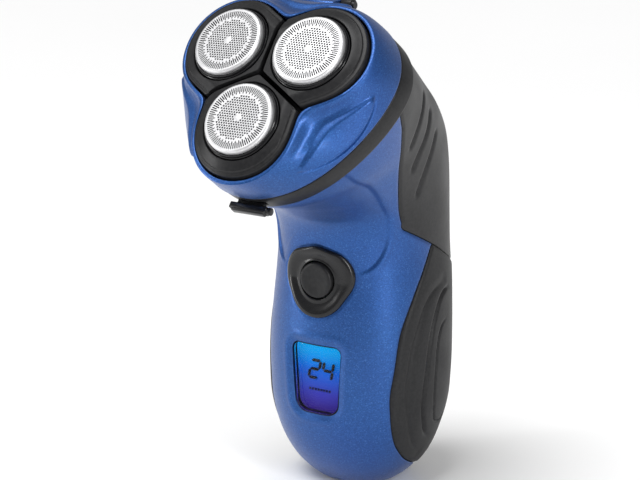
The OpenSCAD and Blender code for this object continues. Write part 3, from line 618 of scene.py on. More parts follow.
def trimmer_arm(material):
    """The pop-up trimmer's lid, following the back of the handle, with its hinge barrel."""
    lid = tube("trimmer_lid", body_rings(0.1, 128, 1.0))
    boolean(lid, [tube("inner", body_rings(3.1, 64, 3.0))])
    zone = block("zone", (-TRIM_HALF_W, TRIM_Y - 7, TRIM_Z), (TRIM_HALF_W, 45, TRIM_Z + 27))
    boolean(lid, [zone], "INTERSECT")
    barrel = rod_x("barrel", TRIM_Y, TRIM_Z, TRIM_BARREL, TRIM_HALF_W, 64)
    keep_inside(barrel, 0.1, 128, 2.0)
    pad = block("pad", (-12, TRIM_Y - 1.65, TRIM_Z + 17), (12, TRIM_Y + 0.75, TRIM_Z + 26.4))
    boolean(lid, [barrel, pad], "UNION")
    tools = [rod_x("pin_hole", TRIM_Y, TRIM_Z, 0.8, 40),
             block("comb_room", (-12.8, TRIM_Y - 9.65, TRIM_Z + 21.3),
                   (12.8, TRIM_Y - 1.65, TRIM_Z + 31.3))]
    for i in range(7):
        tools.append(rod_x("rib", 30.9, TRIM_Z + 19 - 1.6 * i, 0.5, 6 - 0.4 * i, 16))
    boolean(lid, tools)
    soften(lid, 0.18)
    place(lid, "trimmer", "grey_plastic", material, ["trimmer_arm"])


def trimmer_pin(material):
    """The trimmer's hinge pin, its ends following the cover's surface."""
    pin = rod_x("trimmer_pin_rod", TRIM_Y, TRIM_Z, 0.76, TRIM_HALF_W + 2.4, 32)
    keep_inside(pin, 0.6, 128, 2.0)
    place(pin, "trimmer", "steel", material, ["trimmer_pin"])


def collar_band():
    """The black band under the shaving head with its floor, and the slot for the latch."""
    a = turns(256)
    low, top = FLOOR_H, FLOOR_H + COLLAR_DEPTH
    rings = []
    for f, tuck in ((0, 0.3), (0.03, 0.08), (0.08, 0), (0.5, 0), (0.9, 0), (0.96, 0.12), (1, 0.5)):
        xa, sa = collar_outline(a, -tuck)
        xb, sb = edge_outline(a, -0.4 - tuck)
        rings.append(head_point(xa + (xb - xa) * f, sa + (sb - sa) * f, low + (top - low) * f))
    for grow, h in ((-2.1, top), (-2.1, low + 1.5)):
        x, s = edge_outline(a, grow)
        rings.append(head_point(x, s, h))
    for r, h in ((6.6, low + 1.5), (6.6, low)):
        rings.append(head_round(r, a, h))
    band = torus("collar_band", rings)
    slot = transform(block("slot", (-5.1, -41, -COVER_DEPTH - 4.8), (5.1, -29, -COVER_DEPTH - 2.4)),
                     HEAD_MATRIX)
    return boolean(band, [slot])


def screw_post(angle):
    """A hollow post that a gear plate screw goes into."""
    top, low = -COVER_DEPTH - 2.25, FLOOR_H + 1.4
    post = lathe("post", [(1.3, top), (2.6, top), (2.6, low), (1.3, low)], 32)
    return transform(post, head_turn(angle) @ Matrix.Translation((SCREW_R, 0, 0)))


def hinge_ear(x):
    """An ear at the back of the collar that holds the head's hinge pin."""
    ear = rod_x("ear", HINGE_S, HINGE_H, HINGE_R, 1.7, 40)
    foot = block("foot", (-1.7, HINGE_S - 4, HINGE_H - 5.2), (1.7, HINGE_S - 0.6, HINGE_H - 0.6))
    boolean(ear, [foot], "UNION")
    boolean(ear, [rod_x("bore", HINGE_S, HINGE_H, 1.05, 5, 32)])
    soften(ear, 0.25)
    return transform(ear, HEAD_MATRIX @ Matrix.Translation((x, 0, 0)))


def collar(material):
    parts = [collar_band()]
    parts += [screw_post(angle) for angle in (90, 210, 330)]
    parts += [hinge_ear(x) for x in HINGE_EARS]
    place(join("collar_ring", parts), "handle", "black_plastic", material, ["collar"])


# ---- the shaving head ----
def off_lobe(angle):
    """Angle in degrees from the nearest lobe, 0 to 60."""
    d = np.mod(np.degrees(angle) - 30, 120)
    return np.where(d > 60, 120 - d, d)


def lobe_reach(angle):
    """How far the plates reach from the head's axis: round lobes joined by softened notches."""
    spread = np.radians(np.linspace(-7, 7, 15))
    total = 0
    for turn in spread:
        d = np.radians(off_lobe(angle + turn))
        side = np.maximum(LOBE_R ** 2 - (LOBE_PCR * np.sin(d)) ** 2, 0)
        lobe = LOBE_PCR * np.cos(d) + np.sqrt(side)
        total = total + np.where(d < math.atan(LOBE_R / LOBE_PCR), lobe,
                                 LOBE_R / np.sin(np.maximum(d, 0.5)))
    return total / len(spread)


def rim_radius(angle):
    return lobe_reach(angle) + RIM_GAP


def rim_height(angle):
    return -6.4 + 2.0 * smoothstep((off_lobe(angle) - 14) / 44)


def cover_ring(angle, v, thickness):
    """The head cover's surface at height share v, 0 at its lower edge and 1 at its rim."""
    e = np.stack(edge_outline(angle, -0.2))
    unit = np.stack([np.cos(angle), np.sin(angle)])
    u = (rim_radius(angle) + 1.3) * unit
    k = smoothstep((off_lobe(angle) - 20) / 38)
    blend = 0.22 - 0.06 * k
    m = e * 0.995 * (1 - blend) + u * blend
    m *= np.maximum(1, 0.995 * norm(u, axis=0) / norm(m, axis=0))
    mh = -9.6 - 3.0 * k
    q = e * (1 - v) ** 2 + m * 2 * v * (1 - v) + u * v * v
    h = -COVER_DEPTH * (1 - v) ** 2 + mh * 2 * v * (1 - v) + rim_height(angle) * v * v
    q = q - thickness * (1 - 0.35 * v) * q / norm(q, axis=0)
    return q, h - thickness * v * 0.9


def cover_relief(angle, v):
    """The leaf-shaped facet and the dish above it, between two lobes."""
    notch = (60 - off_lobe(angle)) / 28.0
    span = np.clip(1 - notch ** 2, 0, 1)
    low = 0.42 - 0.26 * span
    high = 0.44 + 0.2 * span
    rise = smoothstep((v - low) / 0.03) * (1 - smoothstep((v - high + 0.04) / 0.12))
    under = np.exp(-((v - low + 0.03) / 0.03) ** 2)
    dish = np.exp(-((v - 0.8) / 0.12) ** 2)
    facet = smoothstep(span / 0.3) * (1.0 * rise - 0.5 * under)
    return facet - 0.9 * smoothstep(span / 0.8) * dish


def cover_shell():
    """The blue cover, from its lower edge over the rim and down the inside."""
    n, rows = ((420, 96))
    a = turns(n)
    rings = []
    for v in np.linspace(0, 1, rows):
        q, h = cover_ring(a, v, 0)
        q0, h0 = cover_ring(a, max(v - 0.02, 0), 0)
        q1, h1 = cover_ring(a, min(v + 0.02, 1), 0)
        outward = q / norm(q, axis=0)
        run = np.sum((q1 - q0) * outward, axis=0)
        length = np.hypot(run, h1 - h0)
        relief = cover_relief(a, v) * smoothstep((1 - v) / 0.1)
        relief = relief - 0.3 * (1 - smoothstep(v / 0.03))
        q = q + outward * (relief * (h1 - h0) / length)
        rings.append(head_point(q[0], q[1], h - relief * run / length))
    for r, h in ((1.0, 0.16), (0.55, 0.3), (0.15, 0.2), (0, -0.2), (0, -1.9)):
        rings.append(head_round(rim_radius(a) + r, a, rim_height(a) + h))
    for v in np.linspace(0.8, 0, 10):
        q, h = cover_ring(a, v, COVER_T + 0.75 * smoothstep(v / 0.4))
        rings.append(head_point(q[0], q[1], h))
    cover = torus("head_cover_shell", rings)
    gaps = [block("gap", (x - 2, HINGE_S - 3, HINGE_H - 3), (x + 2, HINGE_S + 3, HINGE_H + 3))
            for x in HINGE_EARS]
    return boolean(cover, [transform(gap, HEAD_MATRIX) for gap in gaps])


def cover_knuckle():
    """The barrel at the back of the cover that turns on the hinge pin."""
    knuckle = rod_x("knuckle", HINGE_S, HINGE_H, HINGE_R, 6)
    web = prism_x("web", [(HINGE_S - 3.2, HINGE_H + 1.2), (HINGE_S + 1.9, HINGE_H),
                          (HINGE_S - 2.2, HINGE_H + 5), (HINGE_S - 3.4, HINGE_H + 5)], 6)
    boolean(knuckle, [web], "UNION")
    boolean(knuckle, [rod_x("bore", HINGE_S, HINGE_H, 1.07, 9, 32)])
    soften(knuckle, 0.2)
    return transform(knuckle, HEAD_MATRIX)


def head_cover(material):
    place(join("head_cover_moulding", [cover_shell(), cover_knuckle()]), "head", "blue_plastic",
          material, ["head_cover"])


def segment_reach(t, shift):
    """How far a plate reaches from its foil's middle: a lobe outside, two grooves inside."""
    apex = GROOVE_W / 2 / math.sin(math.radians(60))
    lobe = -shift * np.cos(t) + np.sqrt(LOBE_R ** 2 - (shift * np.sin(t)) ** 2)
    straight = LOBE_R / np.maximum(np.abs(np.sin(t)), 0.02)
    lobe = np.where(lobe * np.cos(t) + shift > 0, lobe, straight)
    sides = []
    for sign in (1, -1):
        rate = np.sin(sign * t - math.radians(60))
        gap = (FOIL_PCR - apex) * math.sin(math.radians(60))
        sides.append(np.where(rate > 0.02, gap / np.maximum(rate, 0.02), 900))
    sharp = 4.0
    return -np.log(sum(np.exp(-sharp * np.minimum(r, 60)) for r in [lobe] + sides)) / sharp


def segment_mesh():
    """One black plate round a foil, in its own frame: x points out through the foil's middle."""
    t = turns(300)
    shift = FOIL_PCR - LOBE_PCR
    reach = segment_reach(t, shift)
    hole, low, inner = RING_R + RING_GAP, -10.4, 11.0
    width = reach - hole

    def top(radius):
        x, y = radius * np.cos(t), radius * np.sin(t)
        inset = LOBE_R - np.where(x + shift > 0, np.hypot(x + shift, y), np.abs(y))
        h = -2.25 - math.tan(FOIL_TILT) * np.clip(x, -9, 20) - 1.25 * (1 - smoothstep(inset / 4.4))
        return h - 0.42 * (1 - smoothstep((inset - 1.15) / 0.22))

    def ring(radius, height, tilt):
        x, y = radius * np.cos(t), radius * np.sin(t)
        lean = tilt * math.tan(FOIL_TILT)
        return np.stack([FOIL_PCR + x + height * lean, y, height], axis=1)

    def ledge(radius):
        return -8.3 - math.tan(FOIL_TILT) * radius * np.cos(t)

    rings = [ring(hole, ledge(hole), 1), ring(hole, top(hole) - 0.55, 1)]
    for inset, drop in ((0.08, 0.22), (0.28, 0.04)):
        rings.append(ring(hole + inset * np.minimum(1, width / 1.4), top(hole) - drop, 1))
    for f in np.linspace(0.12, 0.9, 26):
        radius = hole + width * f
        rings.append(ring(radius, top(radius), 1 - f))
    for inset, drop in ((0.3, 0.02), (0.1, 0.14), (0, 0.45)):
        radius = reach - inset * np.minimum(1, width / 1.4)
        rings.append(ring(radius, top(radius) - drop, 0))
    rings.append(ring(reach, low * np.ones(len(t)), 0))
    rings.append(ring(inner, low * np.ones(len(t)), 1))
    rings.append(ring(inner, ledge(inner), 1))
    return torus("segment", rings)


def segment(side, angle, material):
    plate = segment_mesh()
    plate.name = f"segment_{side}_plate"
    transform(plate, head_turn(angle))
    place(plate, f"segment_{side}", "black_plastic", material, [f"segment_{side}"], 30)


def foil_openings():
    """Prisms for the radial slots and the field of small round holes."""
    parts = []

    def prism(outline):
        parts.append(tube("hole", [np.array([(x, y, h) for x, y in outline]) for h in (-1.4, 0.9)]))

    slots = 88
    for k in range(slots):
        a = 2 * math.pi * k / slots
        inner, outer, half = 8.3 if k % 2 else 7.7, 10.25, 0.185
        ends = [(inner + half, -half), (outer - half, -half), (outer, -half * 0.4),
                (outer, half * 0.4), (outer - half, half), (inner + half, half),
                (inner, half * 0.4), (inner, -half * 0.4)]
        c, s = math.cos(a), math.sin(a)
        prism([(x * c - y * s, x * s + y * c) for x, y in ends])
    pitch, radius = ((0.88, 0.33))
    span = int(8 / pitch) + 2
    for i in range(-span, span + 1):
        for j in range(-span, span + 1):
            x, y = pitch * (i + j / 2), pitch * j * math.sqrt(3) / 2
            if 1.5 < math.hypot(x, y) < 7.1:
                prism([(x + radius * math.cos(b * math.pi / 4), y + radius * math.sin(b * math.pi / 4))
                       for b in range(8)])
    return join("openings", parts)


def foil_mesh():
    """A drawn steel foil: flat top with slots and holes, rounded rim, embossed middle."""
    r = FOIL_R
    outside = [(0.02, 0.08), (0.9, 0.08), (1.1, 0.04), (1.3, 0.0), (7.2, 0.0), (7.45, 0.0),
               (10.35, 0.0), (r - 0.75, 0.0), (r - 0.45, -0.08), (r - 0.2, -0.3),
               (r - 0.06, -0.62), (r, -1.0), (r, -2.0), (r + 0.04, -2.1), (r, -2.2), (r, -4.2)]
    inner = [(r - 0.45, -4.2), (r - 0.45, -1.1), (r - 0.75, -0.6), (r - 1.1, -0.42), (0.02, -0.42)]
    return boolean(lathe("foil", outside + inner, 144), [foil_openings()])


def foils(material):
    base = foil_mesh()
    for side, angle in FOIL_SIDES:
        obj = add_object(f"foil_{side}_screen", base.data.copy())
        turn = Matrix.Rotation(math.radians(7 * angle), 4, "Z")
        transform(obj, foil_matrix(angle) @ turn)
        place(obj, f"foil_{side}", "foil_steel", material, [f"foil_{side}"], 30)
    bpy.data.objects.remove(base)


def foil_ring(side, angle, material):
    """The stepped gloss-black ring that carries a foil."""
    r, o = FOIL_R + 0.06, RING_R
    profile = [(r, -4.25), (r, -1.75), (r + 0.12, -1.55), (r + 0.42, -1.5), (r + 0.58, -1.66),
               (r + 0.64, -2.15), (r + 0.72, -2.3), (o - 0.14, -2.34), (o - 0.03, -2.45),
               (o, -2.7), (o, -6.2), (r - 0.9, -6.2), (r - 0.9, -4.25)]
    ring = lathe(f"foil_ring_{side}_moulding", profile, 160)
    transform(ring, foil_matrix(angle))
    place(ring, f"foil_{side}", "gloss_black", material, [f"foil_ring_{side}"], 30)


def head_latch(material):
    """The ribbed push piece below the head's front edge."""
    h = -COVER_DEPTH
    body = block("latch", (-6.6, -36.4, h - 5), (6.6, -34.4, h - 2))
    lip = block("lip", (-5.8, -37, h - 4.6), (5.8, -36, h - 2.4))
    stem = block("stem", (-4.6, -35, h - 4.6), (4.6, -31.4, h - 2.6))
    boolean(body, [lip, stem], "UNION")
    soften(body, 0.45, 3, 50)
    knob = rod_x("knob", -35.4, h - 3.5, 1.2, 0.7, 32)
    soften(knob, 0.25, 2, 50)
    transform(knob, Matrix.Translation((7.2, 0, 0)))
    latch = join("latch_key", [body, knob])
    transform(latch, HEAD_MATRIX)
    place(latch, "head_latch", "gloss_black", material, ["head_latch"])


# ---- controls ----
def front_y(x, z):
    """The handle's front surface at (x, z), from its sections."""
    rows = np.array(SECTIONS[:FRONT_SECTIONS], float)
    z = np.asarray(z, float)
    front = np.interp(z, rows[:, 1], rows[:, 0])
    back = np.interp(z, rows[:, 3], rows[:, 2])
    width = np.interp(z, rows[:, 1], rows[:, 4])
    depth, centre = (back - front) / 2, (back + front) / 2
    return centre - depth * (1 - np.clip(np.abs(x) / width, 0, 1) ** 2.2) ** (1 / 2.2)


def button_bezel(material):
    """The raised gloss surround: a rounded triangle with a moat round the button."""
    outline = bezel_outline()
    angles = np.unwrap(np.arctan2(outline[:, 1] - BUTTON_Z, outline[:, 0]))
    reach = np.hypot(outline[:, 0], outline[:, 1] - BUTTON_Z)
    hole = BUTTON_R + BUTTON_GAP
    profile = [(1, -2.6), (1, -0.35), (0.995, 0.05), (0.97, 0.42), (0.92, 0.72), (0.85, 0.88),
               (0.76, 0.9), (0.66, 0.8), (0.54, 0.58), (0.42, 0.3), (0.3, 0.1), (0.2, 0.02),
               (0.13, 0.1), (0.08, 0.2), (0.04, 0.18), (0.012, 0.02), (0, -0.3), (0, -2.6)]
    rings = []
    for share, lift in profile:
        radius = hole + (reach - hole) * share
        x, z = radius * np.cos(angles), BUTTON_Z + radius * np.sin(angles)
        rings.append(np.stack([x, front_y(x, z) - lift, z], axis=1))
    place(torus("bezel_moulding", rings), "handle", "gloss_black", material, ["button_bezel"], 50)


def power_button(material):
    r, base = BUTTON_R, 24.8
    profile = [(0.02, base - 2), (2.6, base - 2), (2.6, base), (r, base), (r, base + 1.7),
               (r - 0.08, base + 2.2), (r - 0.35, base + 2.5), (r - 0.8, base + 2.62),
               (r - 1.5, base + 2.56), (r - 2.6, base + 2.4), (r - 4, base + 2.28),
               (0.02, base + 2.24)]
    button = tube("power_button_cap", [circle(radius, h, 96) for radius, h in profile])
    matrix = Matrix.Translation((0, 0, BUTTON_Z)) @ Matrix.Rotation(math.pi / 2, 4, "X")
    transform(button, matrix)
    place(button, "power_button", "gloss_black", material, ["power_button"])


def lens_y(x):
    """The front of the curved display window."""
    return LENS_AXIS_Y - np.sqrt(LENS_R ** 2 - x ** 2)


def display_window(clear, mask):
    """The clear curved lens over the display, and the dark mask round its edge."""
    x, z = display_outline(-0.45).T
    middle = (DISPLAY_Z0 + DISPLAY_Z1) / 2
    rings = []
    for share, depth in ((1.0, LENS_T), (1.0, 0.15), (0.985, 0.03), (0.95, 0), (0.5, 0),
                         (0.02, 0), (0.02, LENS_T), (0.5, LENS_T)):
        px = x * share
        rings.append(np.stack([px, lens_y(px) + depth, middle + (z - middle) * share], axis=1))
    place(torus("display_lens", rings), "handle", "clear", clear, ["display_window"])
    rings = []
    for grow, depth in ((0.05, 0.35), (-0.1, 0.2), (-0.4, 0.2), (-0.4, None), (0.05, None)):
        x, z = display_outline(grow).T
        y = lens_y(x) + depth if depth else np.full(len(x), MASK_BACK_Y)
        rings.append(np.stack([x, y, z], axis=1))
    place(torus("display_mask", rings), "handle", "black_plastic", mask)


def bar(name, points):
    """A thin raised mark on the display, from its outline in x and z."""
    return prism_y(name, points, MARK_Y - MARK_T, MARK_Y + 0.02)


def display_marks(material):
    """Two seven-segment digits and a row of small bars, dark on the lit display."""
    low, high, width, slant = 38.4, 45.3, 3.5, 0.19
    t, gap = 0.48, 0.12
    middle = (low + high) / 2

    def slanted(x, z):
        return x + (z - low) * slant, z

    def stroke(x0, z0, x1, z1):
        if z0 == z1:
            ends = [(x0, z0), (x0 + t, z0 + t), (x1 - t, z0 + t), (x1, z0), (x1 - t, z0 - t),
                    (x0 + t, z0 - t)]
        else:
            ends = [(x0, z0), (x0 - t, z0 + t), (x0 - t, z1 - t), (x0, z1), (x0 + t, z1 - t),
                    (x0 + t, z0 + t)]
        return bar("stroke", [slanted(*p) for p in ends])

    def digit(x, strokes):
        segments = {
            "a": (x + gap, high - t, x + width - gap, high - t),
            "b": (x + width, middle + gap, x + width, high - t - gap),
            "c": (x + width, low + t + gap, x + width, middle - gap),
            "d": (x + gap, low + t, x + width - gap, low + t),
            "e": (x, low + t + gap, x, middle - gap),
            "f": (x, middle + gap, x, high - t - gap),
            "g": (x + gap, middle, x + width - gap, middle),
        }
        return [stroke(*segments[s]) for s in strokes]

    marks = digit(-4.6, "abged") + digit(0.3, "fgbc")
    for i in range(8):
        x = -4.3 + i * 1.05
        marks.append(bar("tick", [(x, 34.7), (x + 0.62, 34.7), (x + 0.72, 35.5), (x + 0.1, 35.5)]))
    place(join("display_marks", marks), "handle", "lcd", material)


# ---- materials ----
class Finish:
    """A node material with a Principled shader, built up step by step."""

    def __init__(self, name, **values):
        self.material = bpy.data.materials.new(name)
        self.material.use_nodes = True
        self.nodes = self.material.node_tree.nodes
        self.links = self.material.node_tree.links
        self.shader = self.nodes["Principled BSDF"]
        self.place = self.nodes.new("ShaderNodeTexCoord").outputs["Object"]
        self.feed(self.shader, values)

    def feed(self, node, inputs):
        """Gives each input of a node its number, or links it to another node's socket."""
        for key, value in inputs.items():
            socket = node.inputs[key.replace("_", " ")]
            if isinstance(value, bpy.types.NodeSocket):
                self.links.new(value, socket)
            else:
                socket.default_value = value

    def node(self, kind, **inputs):
        node = self.nodes.new("ShaderNode" + kind)
        self.feed(node, inputs)
        return node

    def noise(self, scale, detail, stretch=None):
        """A noise pattern; scale is in features per metre."""
        source = self.place
        if stretch:
            source = self.node("Mapping", Vector=source, Scale=stretch).outputs["Vector"]
        return self.node("TexNoise", Vector=source, Scale=scale, Detail=detail).outputs["Fac"]

    def cells(self, scale):
        """Small cells, each with its own random value, for flakes and grains."""
        cells = self.node("TexVoronoi", Vector=self.place, Scale=scale).outputs["Color"]
        return self.node("SeparateColor", Color=cells).outputs["Red"]

    def ramp(self, value, stops):
        node = self.node("ValToRGB", Fac=value)
        elements = node.color_ramp.elements
        while len(elements) < len(stops):
            elements.new(0.5)
        for element, (position, colour) in zip(elements, stops):
            element.position = position
            element.color = (*colour, 1)
        return node.outputs["Color"]

    def level(self, value, low, high, start=0.0, end=1.0):
        """A value mapped to the range low to high."""
        node = self.node("MapRange", Value=value, From_Min=start, From_Max=end, To_Min=low,
                         To_Max=high)
        return node.outputs["Result"]

    def mix(self, share, first, second):
        """Two colours mixed; the share and the colours are numbers or sockets."""
        node = self.node("Mix", Factor=share)
        node.data_type = "RGBA"
        for socket, source in (("A", first), ("B", second)):
            target = [s for s in node.inputs if s.identifier == f"{socket}_Color"][0]
            if isinstance(source, tuple):
                target.default_value = (*source, 1)
            else:
                self.links.new(source, target)
        return [s for s in node.outputs if s.identifier == "Result_Color"][0]

    def uneven(self, scale, detail, low, high):
        """A roughness that drifts between two values."""
        return self.rough(self.level(self.noise(scale, detail), low, high, 0.3, 0.7))

    def mottle(self, value, dark, light, light_at=0.75):
        """A base colour that follows a pattern from dark to light."""
        return self.colour(self.ramp(value, [(0.3, dark), (light_at, light)]))

    def colour(self, source):
        self.links.new(source, self.shader.inputs["Base Color"])
        return self

    def rough(self, source):
        self.links.new(source, self.shader.inputs["Roughness"])
        return self

    def bump(self, value, strength, distance):
        node = self.node("Bump", Height=value, Strength=strength, Distance=distance)
        self.links.new(node.outputs["Normal"], self.shader.inputs["Normal"])
        return self


def blue_lacquer():
    f = Finish("blue_metal_flake", Metallic=0.75, Coat_Weight=0.25, Coat_Roughness=0.25,
               Sheen_Weight=0.08, Sheen_Tint=(0.6, 0.65, 1.0, 1.0))
    flakes = f.cells(3400)
    base = f.ramp(flakes, [(0.0, (0.009, 0.058, 0.22)), (0.6, (0.012, 0.076, 0.27)),
                           (0.92, (0.016, 0.09, 0.31)), (1.0, (0.034, 0.13, 0.38))])
    drift = f.level(f.noise(26, 2), 0.0, 1.0, 0.35, 0.65)
    f.colour(f.mix(drift, base, f.mix(0.12, base, (0.03, 0.05, 0.3))))
    f.rough(f.level(f.cells(3000), 0.36, 0.48))
    return f.bump(flakes, 0.09, 0.00005).material


def satin_plastic(name, dark, light, rough, grain=2600, bump=0.3):
    """A moulded plastic with a fine spark texture and slight unevenness."""
    f = Finish(name, Specular_IOR_Level=0.22)
    f.mottle(f.noise(grain * 0.35, 4), dark, light)
    f.uneven(60, 3, rough - 0.05, rough + 0.07)
    return f.bump(f.noise(grain, 2), bump, 0.00005).material


def gloss_black():
    f = Finish("gloss_black_moulding", Specular_IOR_Level=0.3, Coat_Weight=0.12,
               Coat_Roughness=0.06)
    f.mottle(f.noise(900, 3), (0.004, 0.004, 0.005), (0.009, 0.009, 0.01), 0.8)
    f.uneven(45, 3, 0.16, 0.28)
    return f.bump(f.noise(240, 2), 0.05, 0.0001).material


def foil_steel():
    f = Finish("drawn_steel_foil", Metallic=1.0)
    f.mottle(f.noise(700, 4), (0.6, 0.6, 0.61), (0.7, 0.7, 0.71))
    f.uneven(1500, 2, 0.46, 0.56)
    return f.bump(f.noise(2400, 2), 0.05, 0.00003).material


def plain_metal(name, dark, light, stretch):
    f = Finish(name, Metallic=1.0)
    brushed = f.noise(900, 4, stretch)
    f.mottle(brushed, dark, light)
    f.rough(f.level(brushed, 0.22, 0.42, 0.3, 0.7))
    return f.bump(brushed, 0.15, 0.00004).material


def lit_display():
    """The backlit display: cyan-blue at the top falling to violet-blue below."""
    f = Finish("lit_display", Roughness=0.5, Specular_IOR_Level=0.05)
    split = f.node("SeparateXYZ", Vector=f.place)
    height = f.level(split.outputs["Z"], 0, 1, DISPLAY_Z0 * MM, DISPLAY_Z1 * MM)
    glow = f.ramp(height, [(0.0, (0.03, 0.01, 0.16)), (0.25, (0.03, 0.03, 0.3)),
                           (0.6, (0.005, 0.1, 0.5)), (1.0, (0.0, 0.36, 0.72))])
    grid = f.mix(f.level(f.cells(3800), 0.0, 0.12), glow, (0.0, 0.02, 0.2))
    across = f.node("Math", Value=split.outputs["X"])
    across.operation = "ABSOLUTE"
    border = f.level(across.outputs["Value"], 0.0, 1.0, 9.5 * MM, 10 * MM)
    face = f.mix(border, grid, (0.003, 0.003, 0.006))
    f.feed(f.shader, {"Base Color": face, "Emission Color": face, "Emission Strength": 0.55})
    return f.material


def clear_lens():
    f = Finish("clear_lens", Transmission_Weight=1.0, IOR=1.12)
    f.mottle(f.noise(200, 2), (0.93, 0.97, 1.0), (1.0, 1.0, 1.0), 0.8)
    return f.uneven(300, 2, 0.0, 0.03).material


def cell_sleeve():
    f = Finish("cell_sleeve", Coat_Weight=0.3)
    f.mottle(f.noise(160, 3), (0.03, 0.16, 0.08), (0.06, 0.26, 0.13), 0.8)
    return f.rough(f.level(f.noise(400, 2), 0.3, 0.45)).material


def solder_mask():
    f = Finish("solder_mask", Coat_Weight=0.4, Coat_Roughness=0.15)
    tracks = f.noise(700, 1, (1.0, 1.0, 0.15))
    f.colour(f.ramp(tracks, [(0.48, (0.01, 0.09, 0.03)), (0.53, (0.03, 0.2, 0.07))]))
    return f.rough(f.level(f.noise(500, 2), 0.3, 0.5)).bump(tracks, 0.2, 0.00005).material


def make_finishes():
    return {
        "blue_plastic": blue_lacquer(),
        "grey_plastic": satin_plastic("grey_moulding", (0.018, 0.018, 0.019),
                                      (0.028, 0.028, 0.029), 0.42),
        "soft_grip": satin_plastic("soft_grip_rubber", (0.013, 0.013, 0.014),
                                   (0.022, 0.022, 0.023), 0.5, 3200, 0.4),
        "black_plastic": satin_plastic("satin_black_moulding", (0.01, 0.01, 0.011),
                                       (0.018, 0.018, 0.019), 0.34, 2800, 0.2),
        "gloss_black": gloss_black(),
        "steel": plain_metal("brushed_steel", (0.42, 0.42, 0.44), (0.62, 0.62, 0.64),
                             (1.0, 1.0, 0.1)),
        "foil_steel": foil_steel(),
        "brass": plain_metal("brass", (0.55, 0.36, 0.12), (0.76, 0.55, 0.24), (1.0, 0.2, 1.0)),
        "cell": cell_sleeve(),
        "board": solder_mask(),
        "lcd": lit_display(),
        "ink": satin_plastic("display_ink", (0.002, 0.002, 0.003), (0.005, 0.005, 0.006), 0.6),
        # dark steel for the hinge pin and the cutters; on the cutters the dark colour is painted
        # shade, the shadow seen through the foil's holes
        "dark_steel_painted_shade": plain_metal("darkened_steel_painted_shade", (0.03, 0.03, 0.032), (0.06, 0.06, 0.062),
                                  (1.0, 1.0, 0.1)),
        "white_plastic": satin_plastic("ivory_moulding", (0.6, 0.6, 0.57), (0.74, 0.74, 0.71),
                                       0.4),
        "clear": clear_lens(),
    }


def finish_cad_nodes(frame, finishes):
    """Every CAD node that is still shown takes its slot's procedural material, except the hinge pin
    and the cutters, which take a dark steel; on the cutters that dark colour is painted shade, the
    shadow seen through the foil's holes.
    """
    slots = {row["node"]: row["material_slot"] for row in frame["record"]["subparts"]}
    for name, obj in frame["nodes"].items():
        # the cutters are darkened as painted shade, so the foil's holes look dark; the hinge pin takes
        # the same dark steel
        dark = name == "hinge_pin" or name.startswith("cutter")
        obj.data.materials.clear()
        obj.data.materials.append(finishes["dark_steel_painted_shade" if dark else slots[name]])


# ---- stage ----
def add_floor():
    """A square floor in metres, just below the object, as a grid of n by n faces."""
    half, n, drop = 3.0, 24, -0.0002
    step, row = 2 * half / n, n + 1
    verts = [(-half + i * step, -half + j * step, drop) for j in range(row) for i in range(row)]
    corners = [j * row + i for j in range(n) for i in range(n)]
    faces = [(k, k + 1, k + row + 1, k + row) for k in corners]
    floor = new_object("studio_floor", verts, faces)
    f = Finish("studio_floor", Roughness=0.7)
    f.mottle(f.noise(3, 2), (0.94, 0.94, 0.94), (0.96, 0.96, 0.96), 0.8)
    floor.data.materials.append(f.material)


def add_light(name, place, target, size, power):
    """A rectangular lamp, in metres and watts, aimed at the target."""
    data = bpy.data.lights.new(name, "AREA")
    data.shape = "RECTANGLE"
    data.size, data.size_y = size
    data.energy = power
    light = add_object(name, data)
    light.location = place
    light.rotation_euler = (Vector(target) - Vector(place)).to_track_quat("-Z", "Y").to_euler()


def add_sun(strength, softness):
    """The even light from overhead; it also whitens the floor far from the object."""
    data = bpy.data.lights.new("overhead", "SUN")
    data.energy = strength
    data.angle = math.radians(softness)
    light = add_object("overhead", data)
    light.rotation_euler = (math.radians(18), math.radians(-10), 0)


def add_world(strength):
    world = bpy.data.worlds.new("studio")
    world.use_nodes = True
    background = world.node_tree.nodes["Background"]
    background.inputs["Color"].default_value = (1, 1, 1, 1)
    background.inputs["Strength"].default_value = strength
    bpy.context.scene.world = world


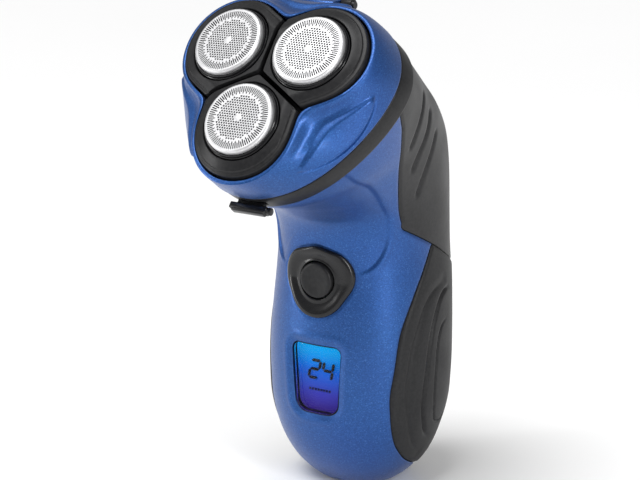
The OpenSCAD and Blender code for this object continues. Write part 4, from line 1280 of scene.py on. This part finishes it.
def add_camera():
    azimuth, elevation = math.radians(VIEW_AZIMUTH), math.radians(VIEW_ELEVATION)
    away = Vector((math.sin(azimuth) * math.cos(elevation),
                   -math.cos(azimuth) * math.cos(elevation), math.sin(elevation)))
    data = bpy.data.cameras.new("camera")
    data.sensor_width = VIEW_SENSOR
    data.lens = VIEW_LENS
    data.shift_x = VIEW_SHIFT_X
    data.shift_y = VIEW_SHIFT_Y
    camera = add_object("camera", data)
    camera.location = Vector(VIEW_TARGET) + away * VIEW_DISTANCE
    camera.rotation_euler = away.to_track_quat("Z", "Y").to_euler()
    bpy.context.scene.camera = camera


def build_stage():
    add_floor()
    add_world(0.36)
    add_sun(2.3, 40)
    add_light("right", (0.62, -0.3, 0.34), (0, 0, 0.1), (0.1, 0.5), 2.6)
    add_light("left", (-0.62, -0.5, 0.25), (0, 0, 0.09), (0.1, 0.5), 2.0)
    bpy.context.scene.view_settings.view_transform = "Standard"


def build_pieces(frame, finishes):
    finish_cad_nodes(frame, finishes)
    front_shell(finishes["blue_plastic"])
    rear_grip(finishes["soft_grip"])
    rear_cover(finishes["grey_plastic"])
    trimmer_arm(finishes["grey_plastic"])
    trimmer_pin(finishes["steel"])
    collar(finishes["black_plastic"])
    head_cover(finishes["blue_plastic"])
    for side, angle in FOIL_SIDES:
        segment(side, angle, finishes["black_plastic"])
        foil_ring(side, angle, finishes["gloss_black"])
    foils(finishes["foil_steel"])
    head_latch(finishes["gloss_black"])
    button_bezel(finishes["gloss_black"])
    power_button(finishes["black_plastic"])
    display_window(finishes["clear"], finishes["ink"])
    display_marks(finishes["ink"])


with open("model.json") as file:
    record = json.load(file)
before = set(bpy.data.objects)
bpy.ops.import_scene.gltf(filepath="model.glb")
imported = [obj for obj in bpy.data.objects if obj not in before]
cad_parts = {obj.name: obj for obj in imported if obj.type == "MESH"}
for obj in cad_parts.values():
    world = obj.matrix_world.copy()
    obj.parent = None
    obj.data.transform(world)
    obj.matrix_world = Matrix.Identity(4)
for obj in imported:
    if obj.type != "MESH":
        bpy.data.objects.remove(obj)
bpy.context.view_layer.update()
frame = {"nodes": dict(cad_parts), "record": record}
build_pieces(frame, make_finishes())
build_stage()
add_camera()
